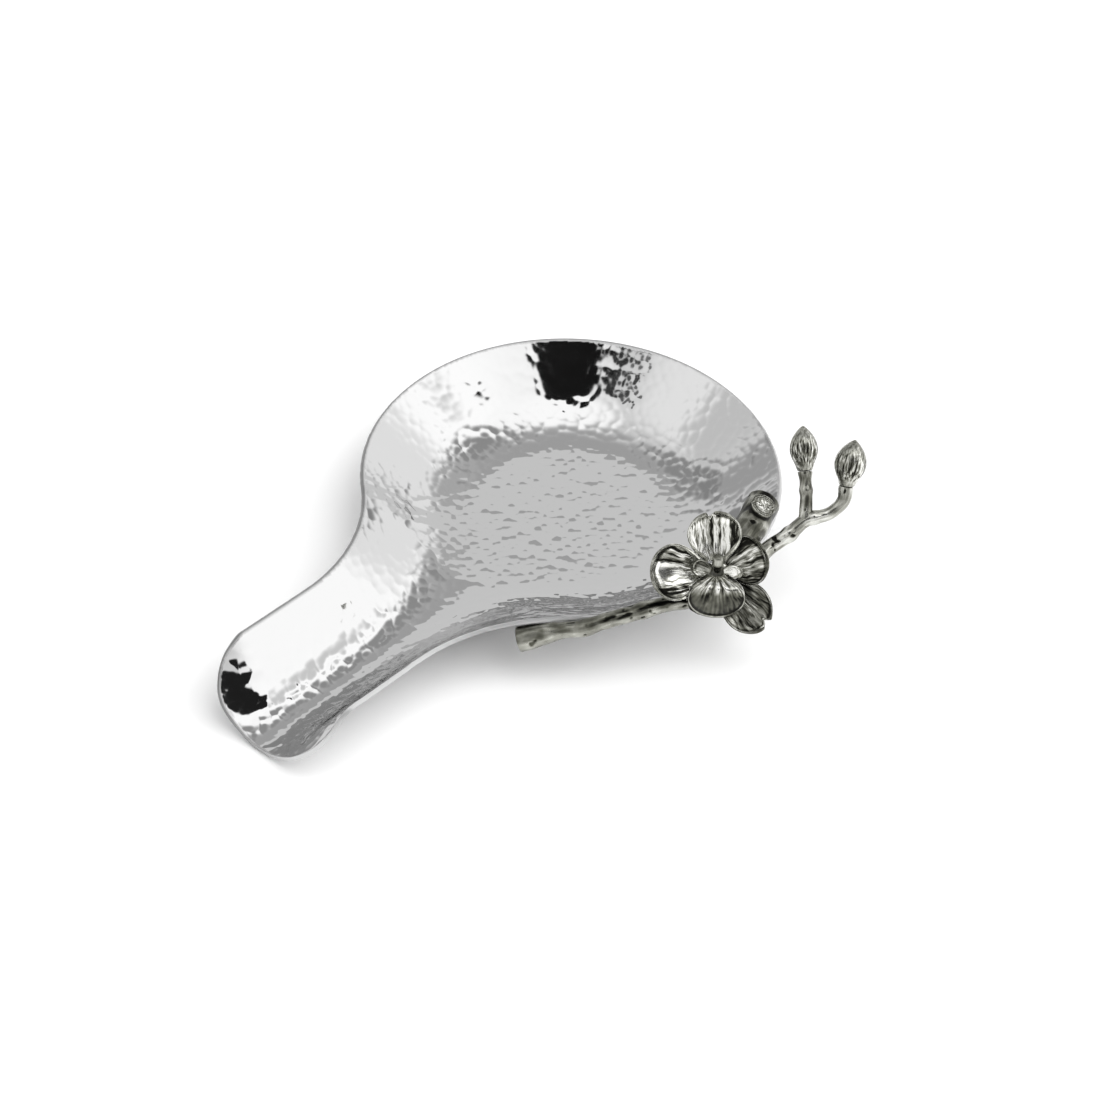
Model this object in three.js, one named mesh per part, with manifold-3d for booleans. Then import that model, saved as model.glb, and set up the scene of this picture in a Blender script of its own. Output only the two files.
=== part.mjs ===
// A spoon rest: a hammered steel dish with a trough handle, and a cast orchid spray brazed along its rim.
// Millimetres, +Z up. The origin is on the table under the middle of the bowl; the handle points along -X.
// Angles round the bowl are in degrees, anticlockwise from +X seen from above.
import * as THREE from "three";
import { mergeVertices } from "three/addons/utils/BufferGeometryUtils.js";
import Module from "manifold-3d";

const wasm = await Module();
wasm.setup();

// Dish: one pressed sheet, bowl and handle together.
const SHEET = 1.3; // thickness of the steel
const BOWL_RADIUS = 66; // inside edge of the rim
const BOWL_DEPTH = 18.8; // from the floor up to the rim, inside
const FLOOR_RADIUS = 30.5; // flat part of the floor, which the dish rests on
const WALL_BEND = 0.6; // share of the wall's run that is bent, below the straight part
const HANDLE_REACH = 139.4; // from the middle of the bowl to the handle's tip
const HANDLE_WIDTH = 44.8; // across the trough
const HANDLE_LIFT = 4; // how far the handle's edges climb above the bowl's rim
const NECK_RADIUS = 60; // where the rim turns from the bowl into the handle
const TIP_CORNER = 10; // round corners of the handle's open end
const TIP_RISE = 0.4; // how far the trough's floor climbs from the bowl to the tip
const TIP_FLARE = 0.42; // share of the trough's depth that its walls lose at the tip
const TIP_FLARE_LENGTH = 17;

// Branch: a cast twig that starts as a cut stub under the rim, climbs on to the rim and runs along it.
const BRAZE_GAP = 0.3; // room for braze between neighbouring pieces
const TWIG_RADIUS = 2.6;
const STUB_RADIUS = 4;
const STUB_DROOP = 2.6; // how far the stub's end stands off the wall
const BRANCH_START = -151.4; // the stub's cut end
const BRANCH_CLIMB = -131; // where the twig reaches the rim
const BRANCH_END = -88; // where the bud spray takes over, behind the flower
const STUB_FLARE = 0.22; // share of the branch over which the stub narrows to the twig
const KNOT_SWELL = 0.14; // growth knots on the twig, as a share of its radius
// Knots: [place, half length], as shares of the bar that they are on.
const BRANCH_KNOTS = [[0.27, 0.05], [0.5, 0.05], [0.66, 0.05]];
const SPRAY_KNOTS = [[0.42, 0.06], [0.64, 0.05]];
const LEFT_KNOTS = [[0.62, 0.12]];
const BRANCH_STEPS = 44;
const SPRAY_STEPS = 34;
const LEFT_STEPS = 14;
const BAR_SIDES = 12;

// Bud spray: two buds on a forked stem.
const STEM_RADIUS = 2.1;
const BUD_STEM_RADIUS = 1.8;
const COLLAR_SWELL = 1.25; // the stems widen under a bud
const COLLAR_SHARE = 0.2; // over the last part of the stem
const LEFT_BUD = { length: 14, radius: 4.3 };
const RIGHT_BUD = { length: 14.6, radius: 4.7 };
const BUD_SEAT_RADIUS = 2.2; // flat foot of a bud
const BUD_RIBS = 9;
const BUD_RIB_DEPTH = 0.07; // share of the bud's radius
const BUD_BELLY = 0.8; // below one puts the widest part above the middle
const BUD_STEPS = 13;
const BUD_SIDES = 3 * BUD_RIBS;
// Where the stems run: [angle, distance outside the rim, height above the rim].
const FORK = [-71.8, 12, 9];
const STEM_ROUTE = [[-79.5, 4.9, 2.6], [-75.3, 9, 6], FORK];
const RIGHT_ROUTE = [FORK, [-68.6, 18.4, 10.6], [-66.2, 21.4, 13.6], [-64.6, 21.4, 17.4]];
const LEFT_ROUTE = [FORK, [-68.6, 10.6, 13.4], [-64.3, 8.2, 19.6]];

// Inner twig: a thick shoot that leaves the branch behind the flower, crosses the rim and lies inside it.
const INNER_NECK = 3; // its radius where it starts
const INNER_RADIUS = 5.2; // at its blunt end
const INNER_SWELL = 0.55; // share of its length over which it thickens
const INNER_STEPS = 26;
const INNER_SIDES = 20;
// Where it runs: [angle, bearing round the rim's edge from straight out, share of its thickening].
const INNER_ROUTE = [[-97, 60, 0], [-91, 98, 0.3], [-84, 124, 0.8], [-76, 132, 1], [-65.2, 132, 1]];
const SCAR = { angle: -71.1, bearing: 66, radius: 4.1, rise: 0.4 }; // stump of a side shoot on the twig

// Flower: tepals on a hub that stands on the branch and faces up and outwards.
const FLOWER_ANGLE = -100.4; // place of its stalk on the branch
const FLOWER_FACING = -140;
const FLOWER_TILT = 47; // above the horizon
const STALK_RISE = 4.6; // from the branch to the bend below the hub
const STALK_RADIUS = 2.2;
const HUB_LENGTH = 6.5;
const HUB_RADIUS = 3.4;
const STALK_STEPS = 16;
const STALK_SIDES = 14;
const TEPAL_SHEET = 1;
const TEPAL_LAYER = 2.1; // step between layers of tepals along the hub
const CLAW_WIDTH = 4.4; // a tepal's narrow foot
const WIDEST = 0.58; // where a blade is widest, as a share of its length
const BLADE_ROWS = 10;
const BLADE_COLUMNS = 8;
const TEPALS = {
  // turn is seen from the front, anticlockwise from the right; layer 0 is the foremost
  dorsal_sepal: { turn: 96, layer: 0, length: 14, width: 16, cup: 3.2, curl: 1.6 },
  left_petal: { turn: 182, layer: 0, length: 16, width: 16.4, cup: 3, curl: 1.9 },
  right_petal: { turn: 24, layer: 1, length: 11.8, width: 15, cup: 2.4, curl: 1.3 },
  left_lateral_sepal: { turn: 243, layer: 1, length: 9.2, width: 10.4, cup: -3.6, curl: 0.8 },
  right_lateral_sepal: { turn: 314, layer: 2, length: 18, width: 14.6, cup: -1.2, curl: 1.2 },
};
const LIP = { length: 12.6, width: 16.4, arch: 5.8, droop: 3.6, curl: -2.2, claw: 3 };
const LIP_SHEET = 1.2;
const LIP_CREST = 0.9; // share of the lip's length over which it arches
const LOBE = { length: 5.6, width: 3.6, rise: 2.2, curl: 0.5 };
const LOBE_TURNS = { left_lobe: 171, right_lobe: 12 };
const LOBE_SHEET = 1;
const COLUMN_RADIUS = 1.6;
const COLUMN_LENGTH = 4.6;
const COLUMN_OFFSET = 1; // from the hub's axis towards the dorsal sepal
const COLUMN_SHAFT = 0.55; // share of its length below the round head
const HEAD_FLAT = 1.05; // the head's curve would close a little beyond its flat top
const COLUMN_STEPS = 8;
const COLUMN_SIDES = 14;

// Finishes.
const POLISHED_STEEL = new THREE.MeshStandardMaterial({ color: 0xd6d7d8, roughness: 0.08, metalness: 1 });
const DARK_NICKEL = new THREE.MeshStandardMaterial({ color: 0x86867c, roughness: 0.3, metalness: 1 });

const RIM_HEIGHT = SHEET + BOWL_DEPTH;
const WALL_RUN = BOWL_RADIUS - FLOOR_RADIUS;
const HANDLE_HALF = HANDLE_WIDTH / 2;
const STRAIGHT_SLOPE = 1 / (1 - WALL_BEND / 2); // of the wall's profile over a run and a depth of one
const WALL_ANGLE = Math.atan((STRAIGHT_SLOPE * BOWL_DEPTH) / WALL_RUN);
const NECK_Y = HANDLE_HALF + NECK_RADIUS; // centre of the neck's arc, at x = -NECK_X
const NECK_X = Math.sqrt((BOWL_RADIUS + NECK_RADIUS) ** 2 - NECK_Y ** 2);
const NECK_END = (BOWL_RADIUS * NECK_X) / (BOWL_RADIUS + NECK_RADIUS); // where the arc meets the bowl

const radians = THREE.MathUtils.degToRad;
const smooth = (t) => THREE.MathUtils.smoothstep(t, 0, 1);

// A point at an angle round the bowl.
function polar(angle, radius, z) {
  return new THREE.Vector3(radius * Math.cos(radians(angle)), radius * Math.sin(radians(angle)), z);
}

// A point given by its angle, its distance outside the rim and its height above the rim.
function fromRim([angle, out, up]) {
  return polar(angle, BOWL_RADIUS + out, RIM_HEIGHT + up);
}

// Meshes and solids

// Geometry of a closed surface from points and triangles, welded, without the triangles that collapse.
function weld(points, triangles) {
  const loose = new THREE.BufferGeometry();
  const numbers = points.flatMap((p) => [p.x, p.y, p.z]);
  loose.setAttribute("position", new THREE.Float32BufferAttribute(numbers, 3));
  loose.setIndex(triangles.flat());
  const welded = mergeVertices(loose, 1e-4);
  const index = welded.index.array;
  const kept = [];
  for (let i = 0; i < index.length; i += 3) {
    const [a, b, c] = [index[i], index[i + 1], index[i + 2]];
    if (a !== b && b !== c && a !== c) kept.push(a, b, c);
  }
  welded.setIndex(kept);
  welded.computeVertexNormals();
  return welded;
}

// A sheet with thickness: a grid of front points, and behind each of them a back point.
function sheetBetween(front, back) {
  const rows = front.length;
  const columns = front[0].length;
  const points = [...front.flat(), ...back.flat()];
  const at = (i, j, side) => side * rows * columns + i * columns + j;
  const triangles = [];
  const quad = (a, b, c, d) => triangles.push([a, b, c], [a, c, d]);
  for (let i = 0; i + 1 < rows; i++)
    for (let j = 0; j + 1 < columns; j++) {
      quad(at(i, j, 0), at(i + 1, j, 0), at(i + 1, j + 1, 0), at(i, j + 1, 0));
      quad(at(i, j, 1), at(i, j + 1, 1), at(i + 1, j + 1, 1), at(i + 1, j, 1));
    }
  const [lastRow, lastColumn] = [rows - 1, columns - 1];
  for (let i = 0; i < lastRow; i++) {
    quad(at(i, 0, 0), at(i, 0, 1), at(i + 1, 0, 1), at(i + 1, 0, 0));
    quad(at(i, lastColumn, 0), at(i + 1, lastColumn, 0), at(i + 1, lastColumn, 1), at(i, lastColumn, 1));
  }
  for (let j = 0; j < lastColumn; j++) {
    quad(at(0, j, 0), at(0, j + 1, 0), at(0, j + 1, 1), at(0, j, 1));
    quad(at(lastRow, j, 0), at(lastRow, j, 1), at(lastRow, j + 1, 1), at(lastRow, j + 1, 0));
  }
  return weld(points, triangles);
}

// A closed body through rings of points, with a flat fan over each end.
function loft(rings) {
  const sides = rings[0].length;
  const points = rings.flat();
  const triangles = [];
  for (let i = 0; i + 1 < rings.length; i++)
    for (let j = 0; j < sides; j++) {
      const [a, b] = [i * sides + j, i * sides + ((j + 1) % sides)];
      triangles.push([a, b, b + sides], [a, b + sides, a + sides]);
    }
  const middle = (ring) => ring.reduce((sum, p) => sum.add(p), new THREE.Vector3()).divideScalar(sides);
  points.push(middle(rings[0]), middle(rings[rings.length - 1]));
  const last = (rings.length - 1) * sides;
  for (let j = 0; j < sides; j++) {
    const next = (j + 1) % sides;
    triangles.push([rings.length * sides, next, j], [rings.length * sides + 1, last + j, last + next]);
  }
  return weld(points, triangles);
}

// A round bar along a curve, whose radius follows its share of the way along.
function bar(curve, radiusAt, steps, sides) {
  const { normals, binormals } = curve.computeFrenetFrames(steps, false);
  const rings = [];
  for (let i = 0; i <= steps; i++) {
    const centre = curve.getPointAt(i / steps);
    const ring = [];
    for (let j = 0; j < sides; j++) {
      const turn = (2 * Math.PI * j) / sides;
      const radius = radiusAt(i / steps, turn);
      ring.push(
        centre
          .clone()
          .addScaledVector(normals[i], radius * Math.cos(turn))
          .addScaledVector(binormals[i], radius * Math.sin(turn)),
      );
    }
    rings.push(ring);
  }
  return loft(rings);
}

function toSolid(geometry) {
  const bare = geometry.clone();
  bare.deleteAttribute("normal");
  const merged = mergeVertices(bare, 1e-4);
  const vertProperties = new Float32Array(merged.attributes.position.array);
  return new wasm.Manifold(
    new wasm.Mesh({ numProp: 3, vertProperties, triVerts: new Uint32Array(merged.index.array) }),
  );
}

function toGeometry(solid) {
  const mesh = solid.getMesh();
  const geometry = new THREE.BufferGeometry();
  geometry.setAttribute("position", new THREE.BufferAttribute(new Float32Array(mesh.vertProperties), 3));
  geometry.setIndex(new THREE.BufferAttribute(new Uint32Array(mesh.triVerts), 1));
  geometry.computeVertexNormals();
  return geometry;
}

// The piece with the room that its neighbours need taken out of it.
function cutBy(geometry, ...rooms) {
  return toGeometry(rooms.reduce((solid, room) => solid.subtract(toSolid(room)), toSolid(geometry)));
}

function joined(geometry, other) {
  return toGeometry(toSolid(geometry).add(toSolid(other)));
}

const part = new THREE.Group();

function add(name, geometry, material) {
  const mesh = new THREE.Mesh(geometry, material);
  mesh.name = name;
  part.add(mesh);
}

// Dish

// The wall's height as a share of its depth, at a share of its run inwards from the rim.
function wallProfile(share) {
  if (share < 1 - WALL_BEND) return 1 - STRAIGHT_SLOPE * share;
  return share < 1 ? (STRAIGHT_SLOPE / (2 * WALL_BEND)) * (1 - share) ** 2 : 0;
}

// Distance inwards from the rim line, which is open at the handle's tip.
function fromRimLine(x, y) {
  const side = Math.abs(y);
  if (x < -NECK_X) return HANDLE_HALF - side;
  if (x < 0 && side * NECK_X < -x * NECK_Y) return Math.hypot(x + NECK_X, side - NECK_Y) - NECK_RADIUS;
  return BOWL_RADIUS - Math.hypot(x, y);
}

// Height of the inside surface.
function insideHeight(x, y) {
  const floor = SHEET + TIP_RISE * smooth((-x - FLOOR_RADIUS) / (HANDLE_REACH - FLOOR_RADIUS));
  const middle = x < -NECK_X ? HANDLE_HALF : Math.hypot(x + NECK_X, NECK_Y) - NECK_RADIUS;
  const run = x > 0 ? WALL_RUN : Math.min(WALL_RUN, middle);
  const climb = THREE.MathUtils.clamp((-x - NECK_END) / (HANDLE_REACH - NECK_END), 0, 1) ** 2;
  const rim = RIM_HEIGHT + HANDLE_LIFT * climb;
  const flare = 1 - TIP_FLARE * smooth((-x - HANDLE_REACH + TIP_FLARE_LENGTH) / TIP_FLARE_LENGTH);
  return floor + (rim - floor) * flare * wallProfile(fromRimLine(x, y) / run);
}

// Unit normal of the inside surface, pointing up.
function insideNormal(x, y) {
  const step = 0.05;
  const slopeX = (insideHeight(x + step, y) - insideHeight(x - step, y)) / (2 * step);
  const slopeY = (insideHeight(x, y + step) - insideHeight(x, y - step)) / (2 * step);
  return new THREE.Vector3(-slopeX, -slopeY, 1).normalize();
}

// Height of a circle's arc at a distance from its middle.
function arcHeight(radius, from) {
  return Math.sqrt(Math.max(0, radius ** 2 - from ** 2));
}

// Half the dish's width at a station along X, with the outline moved outwards by grow.
function halfWidth(x, grow) {
  const circle = BOWL_RADIUS + grow;
  const neck = NECK_RADIUS - grow;
  const tip = HANDLE_REACH + grow;
  const corner = TIP_CORNER + grow;
  const half = HANDLE_HALF + grow;
  if (x < corner - tip) return half - corner + arcHeight(corner, x + tip - corner);
  if (x < -NECK_X) return half;
  if (x < -NECK_END) return NECK_Y - arcHeight(neck, x + NECK_X);
  return arcHeight(circle, x);
}

// Evenly spaced numbers, from the first up to but without the last.
function spread(from, to, count) {
  return Array.from({ length: count }, (_, i) => THREE.MathUtils.lerp(from, to, i / count));
}

// Stations along X: close together where the outline turns.
function dishStations(grow) {
  const tip = HANDLE_REACH + grow;
  const corner = TIP_CORNER + grow;
  const circle = BOWL_RADIUS + grow;
  const start = Math.acos(-NECK_X / (BOWL_RADIUS + NECK_RADIUS));
  return [
    ...spread(0, Math.PI / 2, 5).map((turn) => corner - tip - corner * Math.cos(turn)),
    ...spread(corner - tip, -NECK_X, 7),
    ...spread(-NECK_X, circle * Math.cos(start), 8),
    ...spread(start, 0, 30).map((turn) => circle * Math.cos(turn)),
    circle,
  ];
}

const DISH_ROWS = 22;

// The dish, or with grow the room that the dish and its braze take.
function dishSheet(grow) {
  const grid = dishStations(grow).map((x) =>
    Array.from({ length: DISH_ROWS + 1 }, (_, j) => {
      const y = halfWidth(x, grow) * (1 - (2 * j) / DISH_ROWS);
      return { point: new THREE.Vector3(x, y, insideHeight(x, y)), normal: insideNormal(x, y) };
    }),
  );
  const shift = (by) => ({ point, normal }) => point.clone().addScaledVector(normal, by);
  const shifted = (by) => grid.map((row) => row.map(shift(by)));
  return sheetBetween(shifted(grow).reverse(), shifted(-SHEET - grow).reverse());
}

add("dish", dishSheet(0), POLISHED_STEEL);
const dishRoom = dishSheet(BRAZE_GAP);

// Branch and bud spray

// The twig's middle where it lies against the rim: bearing turns round the rim's edge from straight out,
// and standoff is the room left beyond the braze.
function besideRim(angle, radius, bearing, standoff = 0) {
  const reach = SHEET + BRAZE_GAP + radius + standoff;
  return fromRim([angle, reach * Math.cos(bearing), reach * Math.sin(bearing)]);
}

const UNDER_RIM = WALL_ANGLE - Math.PI / 2; // bearing square to the wall's outside
const BESIDE_RIM = radians(22);
const ON_RIM = radians(46);
const along = (share) => THREE.MathUtils.lerp(BRANCH_START, BRANCH_CLIMB, share);
const beyond = (share) => THREE.MathUtils.lerp(BRANCH_CLIMB, BRANCH_END, share);

const branchCurve = new THREE.CatmullRomCurve3([
  besideRim(along(0), STUB_RADIUS, UNDER_RIM, STUB_DROOP),
  besideRim(along(0.48), TWIG_RADIUS, UNDER_RIM * 0.7),
  besideRim(along(0.75), TWIG_RADIUS, UNDER_RIM / 8),
  besideRim(beyond(0), TWIG_RADIUS, BESIDE_RIM),
  besideRim(beyond(0.23), TWIG_RADIUS, ON_RIM),
  besideRim(beyond(0.44), TWIG_RADIUS, ON_RIM),
  besideRim(beyond(0.62), TWIG_RADIUS, BESIDE_RIM),
  besideRim(beyond(0.82), TWIG_RADIUS, BESIDE_RIM),
  besideRim(beyond(1), TWIG_RADIUS, BESIDE_RIM),
]);

// The share by which a bar's radius grows at a knot.
function knotted(share, knots) {
  const swell = ([place, half]) => Math.max(0, 1 - Math.abs(share - place) / half);
  return 1 + KNOT_SWELL * knots.reduce((most, knot) => Math.max(most, smooth(swell(knot))), 0);
}

function branchRadius(share) {
  const flare = 1 - smooth(share / STUB_FLARE);
  return (TWIG_RADIUS + (STUB_RADIUS - TWIG_RADIUS) * flare) * knotted(share, BRANCH_KNOTS);
}

const branchBar = bar(branchCurve, branchRadius, BRANCH_STEPS, BAR_SIDES);
const branchRoom = bar(branchCurve, (share) => branchRadius(share) + BRAZE_GAP, BRANCH_STEPS, BAR_SIDES);
add("main_branch", cutBy(branchBar, dishRoom), DARK_NICKEL);

// The point of a curve that is nearest to an angle round the bowl.
function pointAtAngle(curve, angle) {
  let best = curve.getPointAt(0);
  for (let share = 0; share <= 1; share += 0.002) {
    const point = curve.getPointAt(share);
    const miss = (p) => Math.abs(Math.atan2(p.y, p.x) - radians(angle));
    if (miss(point) < miss(best)) best = point;
  }
  return best;
}

// A stem that grows from radius to its collar under a bud.
function stemRadius(from, to, knots) {
  return (share) => {
    const collar = 1 + (COLLAR_SWELL - 1) * smooth((share - 1 + COLLAR_SHARE) / COLLAR_SHARE);
    return THREE.MathUtils.lerp(from, to, share) * collar * knotted(share, knots);
  };
}

// The spray's stem starts square on the branch's end face, a braze gap away.
const branchTip = branchCurve.getPointAt(1);
const branchHeading = branchCurve.getTangentAt(1);
const sprayStart = branchTip.clone().addScaledVector(branchHeading, BRAZE_GAP);
const sprayLead = branchTip.clone().addScaledVector(branchHeading, TWIG_RADIUS);
const sprayCurve = new THREE.CatmullRomCurve3([
  sprayStart,
  sprayLead,
  ...STEM_ROUTE.map(fromRim),
  ...RIGHT_ROUTE.slice(1).map(fromRim),
]);
const sprayRadius = stemRadius(TWIG_RADIUS, BUD_STEM_RADIUS, SPRAY_KNOTS);
const sprayBar = bar(sprayCurve, sprayRadius, SPRAY_STEPS, BAR_SIDES);
const sprayRoom = bar(sprayCurve, (share) => sprayRadius(share) + BRAZE_GAP, SPRAY_STEPS, BAR_SIDES);
add("spray_stem", cutBy(sprayBar, dishRoom), DARK_NICKEL);

const leftCurve = new THREE.CatmullRomCurve3(LEFT_ROUTE.map(fromRim));
const leftRadius = stemRadius(STEM_RADIUS, BUD_STEM_RADIUS, LEFT_KNOTS);
add("left_bud_stem", cutBy(bar(leftCurve, leftRadius, LEFT_STEPS, BAR_SIDES), sprayRoom), DARK_NICKEL);

// The inner twig's middle, where the twig lies a braze gap off the rim's inside edge.
function insideRim([angle, bearing, thickening]) {
  const reach = BRAZE_GAP + THREE.MathUtils.lerp(INNER_NECK, INNER_RADIUS, thickening);
  return fromRim([angle, reach * Math.cos(radians(bearing)), reach * Math.sin(radians(bearing))]);
}

// The stump of a side shoot: a short post from the twig's middle to a flat cut above its bark.
function scarPost(curve) {
  const foot = pointAtAngle(curve, SCAR.angle);
  const away = polar(SCAR.angle, Math.cos(radians(SCAR.bearing)), Math.sin(radians(SCAR.bearing)));
  const face = foot.clone().addScaledVector(away, INNER_RADIUS + SCAR.rise);
  return bar(new THREE.LineCurve3(foot, face), () => SCAR.radius, 1, INNER_SIDES);
}

const innerCurve = new THREE.CatmullRomCurve3(INNER_ROUTE.map(insideRim));
const innerRadius = (share) => THREE.MathUtils.lerp(INNER_NECK, INNER_RADIUS, smooth(share / INNER_SWELL));
const innerBar = joined(bar(innerCurve, innerRadius, INNER_STEPS, INNER_SIDES), scarPost(innerCurve));
const innerRoom = bar(innerCurve, (share) => innerRadius(share) + BRAZE_GAP, INNER_STEPS, BAR_SIDES);
add("inner_twig", cutBy(innerBar, dishRoom, branchRoom, sprayRoom), DARK_NICKEL);

// A bud's radius at a share of its length: a flat foot, a full belly and a drawn-out tip.
function budGirth(share, radius) {
  if (share === 1) return 0;
  const belly = Math.sin(Math.PI * share ** BUD_BELLY) ** BUD_BELLY;
  return THREE.MathUtils.lerp(BUD_SEAT_RADIUS * (1 - share), radius, belly);
}

// A ribbed bud that stands on the end of a stem, in line with it.
function bud(stem, { length, radius }) {
  const heading = stem.getTangentAt(1);
  const foot = stem.getPointAt(1).addScaledVector(heading, BRAZE_GAP);
  const turned = new THREE.Quaternion().setFromUnitVectors(new THREE.Vector3(0, 0, 1), heading);
  const rings = Array.from({ length: BUD_STEPS + 1 }, (_, i) => {
    const girth = budGirth(i / BUD_STEPS, radius);
    return Array.from({ length: BUD_SIDES }, (_, j) => {
      const turn = (2 * Math.PI * j) / BUD_SIDES;
      const rib = girth * (1 - (BUD_RIB_DEPTH * (1 - Math.cos(BUD_RIBS * turn))) / 2);
      const point = new THREE.Vector3(rib * Math.cos(turn), rib * Math.sin(turn), (length * i) / BUD_STEPS);
      return point.applyQuaternion(turned).add(foot);
    });
  });
  return loft(rings);
}

add("left_bud", bud(leftCurve, LEFT_BUD), DARK_NICKEL);
add("right_bud", bud(sprayCurve, RIGHT_BUD), DARK_NICKEL);

// Flower

const flowerFront = polar(FLOWER_FACING, Math.cos(radians(FLOWER_TILT)), Math.sin(radians(FLOWER_TILT)));
const flowerRight = polar(FLOWER_FACING + 90, 1, 0);
const flowerUp = new THREE.Vector3().crossVectors(flowerFront, flowerRight);

const stalkFoot = pointAtAngle(branchCurve, FLOWER_ANGLE);
const stalkBend = stalkFoot.clone().add(new THREE.Vector3(0, 0, TWIG_RADIUS + STALK_RISE));
const hubFront = stalkBend.clone().addScaledVector(flowerFront, HUB_LENGTH);

// A point of the flower: right and up in its face, and front along the hub from the hub's face.
function onFlower(right, up, front) {
  return hubFront
    .clone()
    .addScaledVector(flowerRight, right)
    .addScaledVector(flowerUp, up)
    .addScaledVector(flowerFront, front);
}

// Stalk and hub, one casting: it widens to the hub over its last stretch.
const stalkCurve = new THREE.CatmullRomCurve3([
  stalkFoot,
  stalkFoot.clone().lerp(stalkBend, 0.55),
  stalkBend,
  onFlower(0, 0, -HUB_LENGTH / 2),
  onFlower(0, 0, 0),
]);
const hubShare = HUB_LENGTH / stalkCurve.getLength();
const stalkRadius = (share) =>
  THREE.MathUtils.lerp(STALK_RADIUS, HUB_RADIUS, smooth((share - 1 + hubShare) / (hubShare / 3)));
const stalkBar = bar(stalkCurve, stalkRadius, STALK_STEPS, STALK_SIDES);
add("flower_stalk", cutBy(stalkBar, branchRoom, innerRoom, sprayRoom, dishRoom), DARK_NICKEL);

// Half the width of a petal-shaped sheet at a share of its length: a narrow claw, then a round blade.
function bladeHalf(share, width, claw) {
  if (share > WIDEST) return (width / 2) * arcHeight(1, (share - WIDEST) / (1 - WIDEST));
  return THREE.MathUtils.lerp(claw / 2, width / 2, Math.sin((Math.PI / 2) * (share / WIDEST)));
}

// A petal-shaped sheet: turn is its direction in the flower's face, root its start from the hub's axis, and
// heightAt gives its height above the hub's face from the shares along and across it. With grow, its room.
function blade({ turn, length, width, claw, root, thickness, heightAt }, grow = 0) {
  const [outRight, outUp] = [Math.cos(radians(turn)), Math.sin(radians(turn))];
  const at = (share, across) => {
    const out = root + length * share;
    const side = across * bladeHalf(share, width, claw);
    return onFlower(out * outRight - side * outUp, out * outUp + side * outRight, heightAt(share, across));
  };
  const shares = [...spread(0, 1, BLADE_ROWS), 1].map((row) => Math.sin((Math.PI / 2) * row));
  const grid = (by) =>
    shares.map((share) =>
      Array.from({ length: BLADE_COLUMNS + 1 }, (_, j) => {
        const across = 1 - (2 * j) / BLADE_COLUMNS;
        return at(share, across)
          .addScaledVector(flowerRight, -grow * across * outUp)
          .addScaledVector(flowerUp, grow * across * outRight)
          .addScaledVector(flowerFront, by);
      }),
    );
  return sheetBetween(grid(grow).reverse(), grid(-thickness - grow).reverse());
}

function tepal({ turn, layer, length, width, cup, curl }) {
  const level = -layer * TEPAL_LAYER - TEPAL_SHEET / 2;
  const heightAt = (share, across) =>
    level + cup * share ** 2 + curl * across ** 2 * smooth(share / WIDEST);
  const root = HUB_RADIUS + BRAZE_GAP;
  return { turn, length, width, claw: CLAW_WIDTH, root, thickness: TEPAL_SHEET, heightAt };
}

// Lip: a tongue from the lower half of the hub's face, which arches forwards and then droops.
const lipFoot = BRAZE_GAP + LIP_SHEET;
const lip = {
  turn: 270,
  length: LIP.length,
  width: LIP.width,
  claw: LIP.claw,
  root: COLUMN_RADIUS - COLUMN_OFFSET + BRAZE_GAP,
  thickness: LIP_SHEET,
  heightAt: (share, across) =>
    lipFoot +
    LIP.arch * Math.sin(Math.PI * Math.min(1, share / LIP_CREST)) * (1 - share / 2) -
    LIP.droop * share ** 2 +
    LIP.curl * across ** 2 * smooth(share / WIDEST),
};
add("lip", blade(lip), DARK_NICKEL);
const lipRoom = blade(lip, BRAZE_GAP);

const tepalNames = Object.keys(TEPALS);
for (const name of tepalNames) {
  const inFront = tepalNames.filter((other) => TEPALS[other].layer < TEPALS[name].layer);
  const rooms = inFront.map((other) => blade(tepal(TEPALS[other]), BRAZE_GAP));
  const others = [lipRoom, dishRoom, branchRoom, innerRoom, sprayRoom];
  add(name, cutBy(blade(tepal(TEPALS[name])), ...rooms, ...others), DARK_NICKEL);
}

// Two small ears beside the column.
function lobe(turn) {
  return {
    turn,
    length: LOBE.length,
    width: LOBE.width,
    claw: LOBE.width / 2,
    root: COLUMN_RADIUS + BRAZE_GAP,
    thickness: LOBE_SHEET,
    heightAt: (share, across) => BRAZE_GAP + LOBE_SHEET + (LOBE.rise + LOBE.curl * across ** 2) * share,
  };
}

// Column: a rounded post that stands on the hub's face.
const columnCurve = new THREE.LineCurve3(
  onFlower(0, COLUMN_OFFSET, BRAZE_GAP),
  onFlower(0, COLUMN_OFFSET, BRAZE_GAP + COLUMN_LENGTH),
);
const columnRadius = (share) => {
  const head = Math.max(0, share - COLUMN_SHAFT) / (1 - COLUMN_SHAFT) / HEAD_FLAT;
  return COLUMN_RADIUS * Math.sqrt(1 - head ** 2);
};
const columnBar = bar(columnCurve, columnRadius, COLUMN_STEPS, COLUMN_SIDES);
const columnRoom = bar(columnCurve, (share) => columnRadius(share) + BRAZE_GAP, COLUMN_STEPS, COLUMN_SIDES);
add("column", cutBy(columnBar, lipRoom), DARK_NICKEL);
for (const [name, turn] of Object.entries(LOBE_TURNS))
  add(name, cutBy(blade(lobe(turn)), lipRoom, columnRoom), DARK_NICKEL);

export default part;
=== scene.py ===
"""Spoon rest: a hammered steel dish with a cast orchid spray on its rim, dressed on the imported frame."""
import logging
import math
from collections.abc import Callable, Iterator, Sequence
from contextlib import contextmanager
from dataclasses import dataclass, field
from enum import Enum

import bpy
import numpy as np
from bpy.types import Material, Node, NodeTree, Object
from mathutils import Matrix, Vector, noise
from mathutils.kdtree import KDTree


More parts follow.
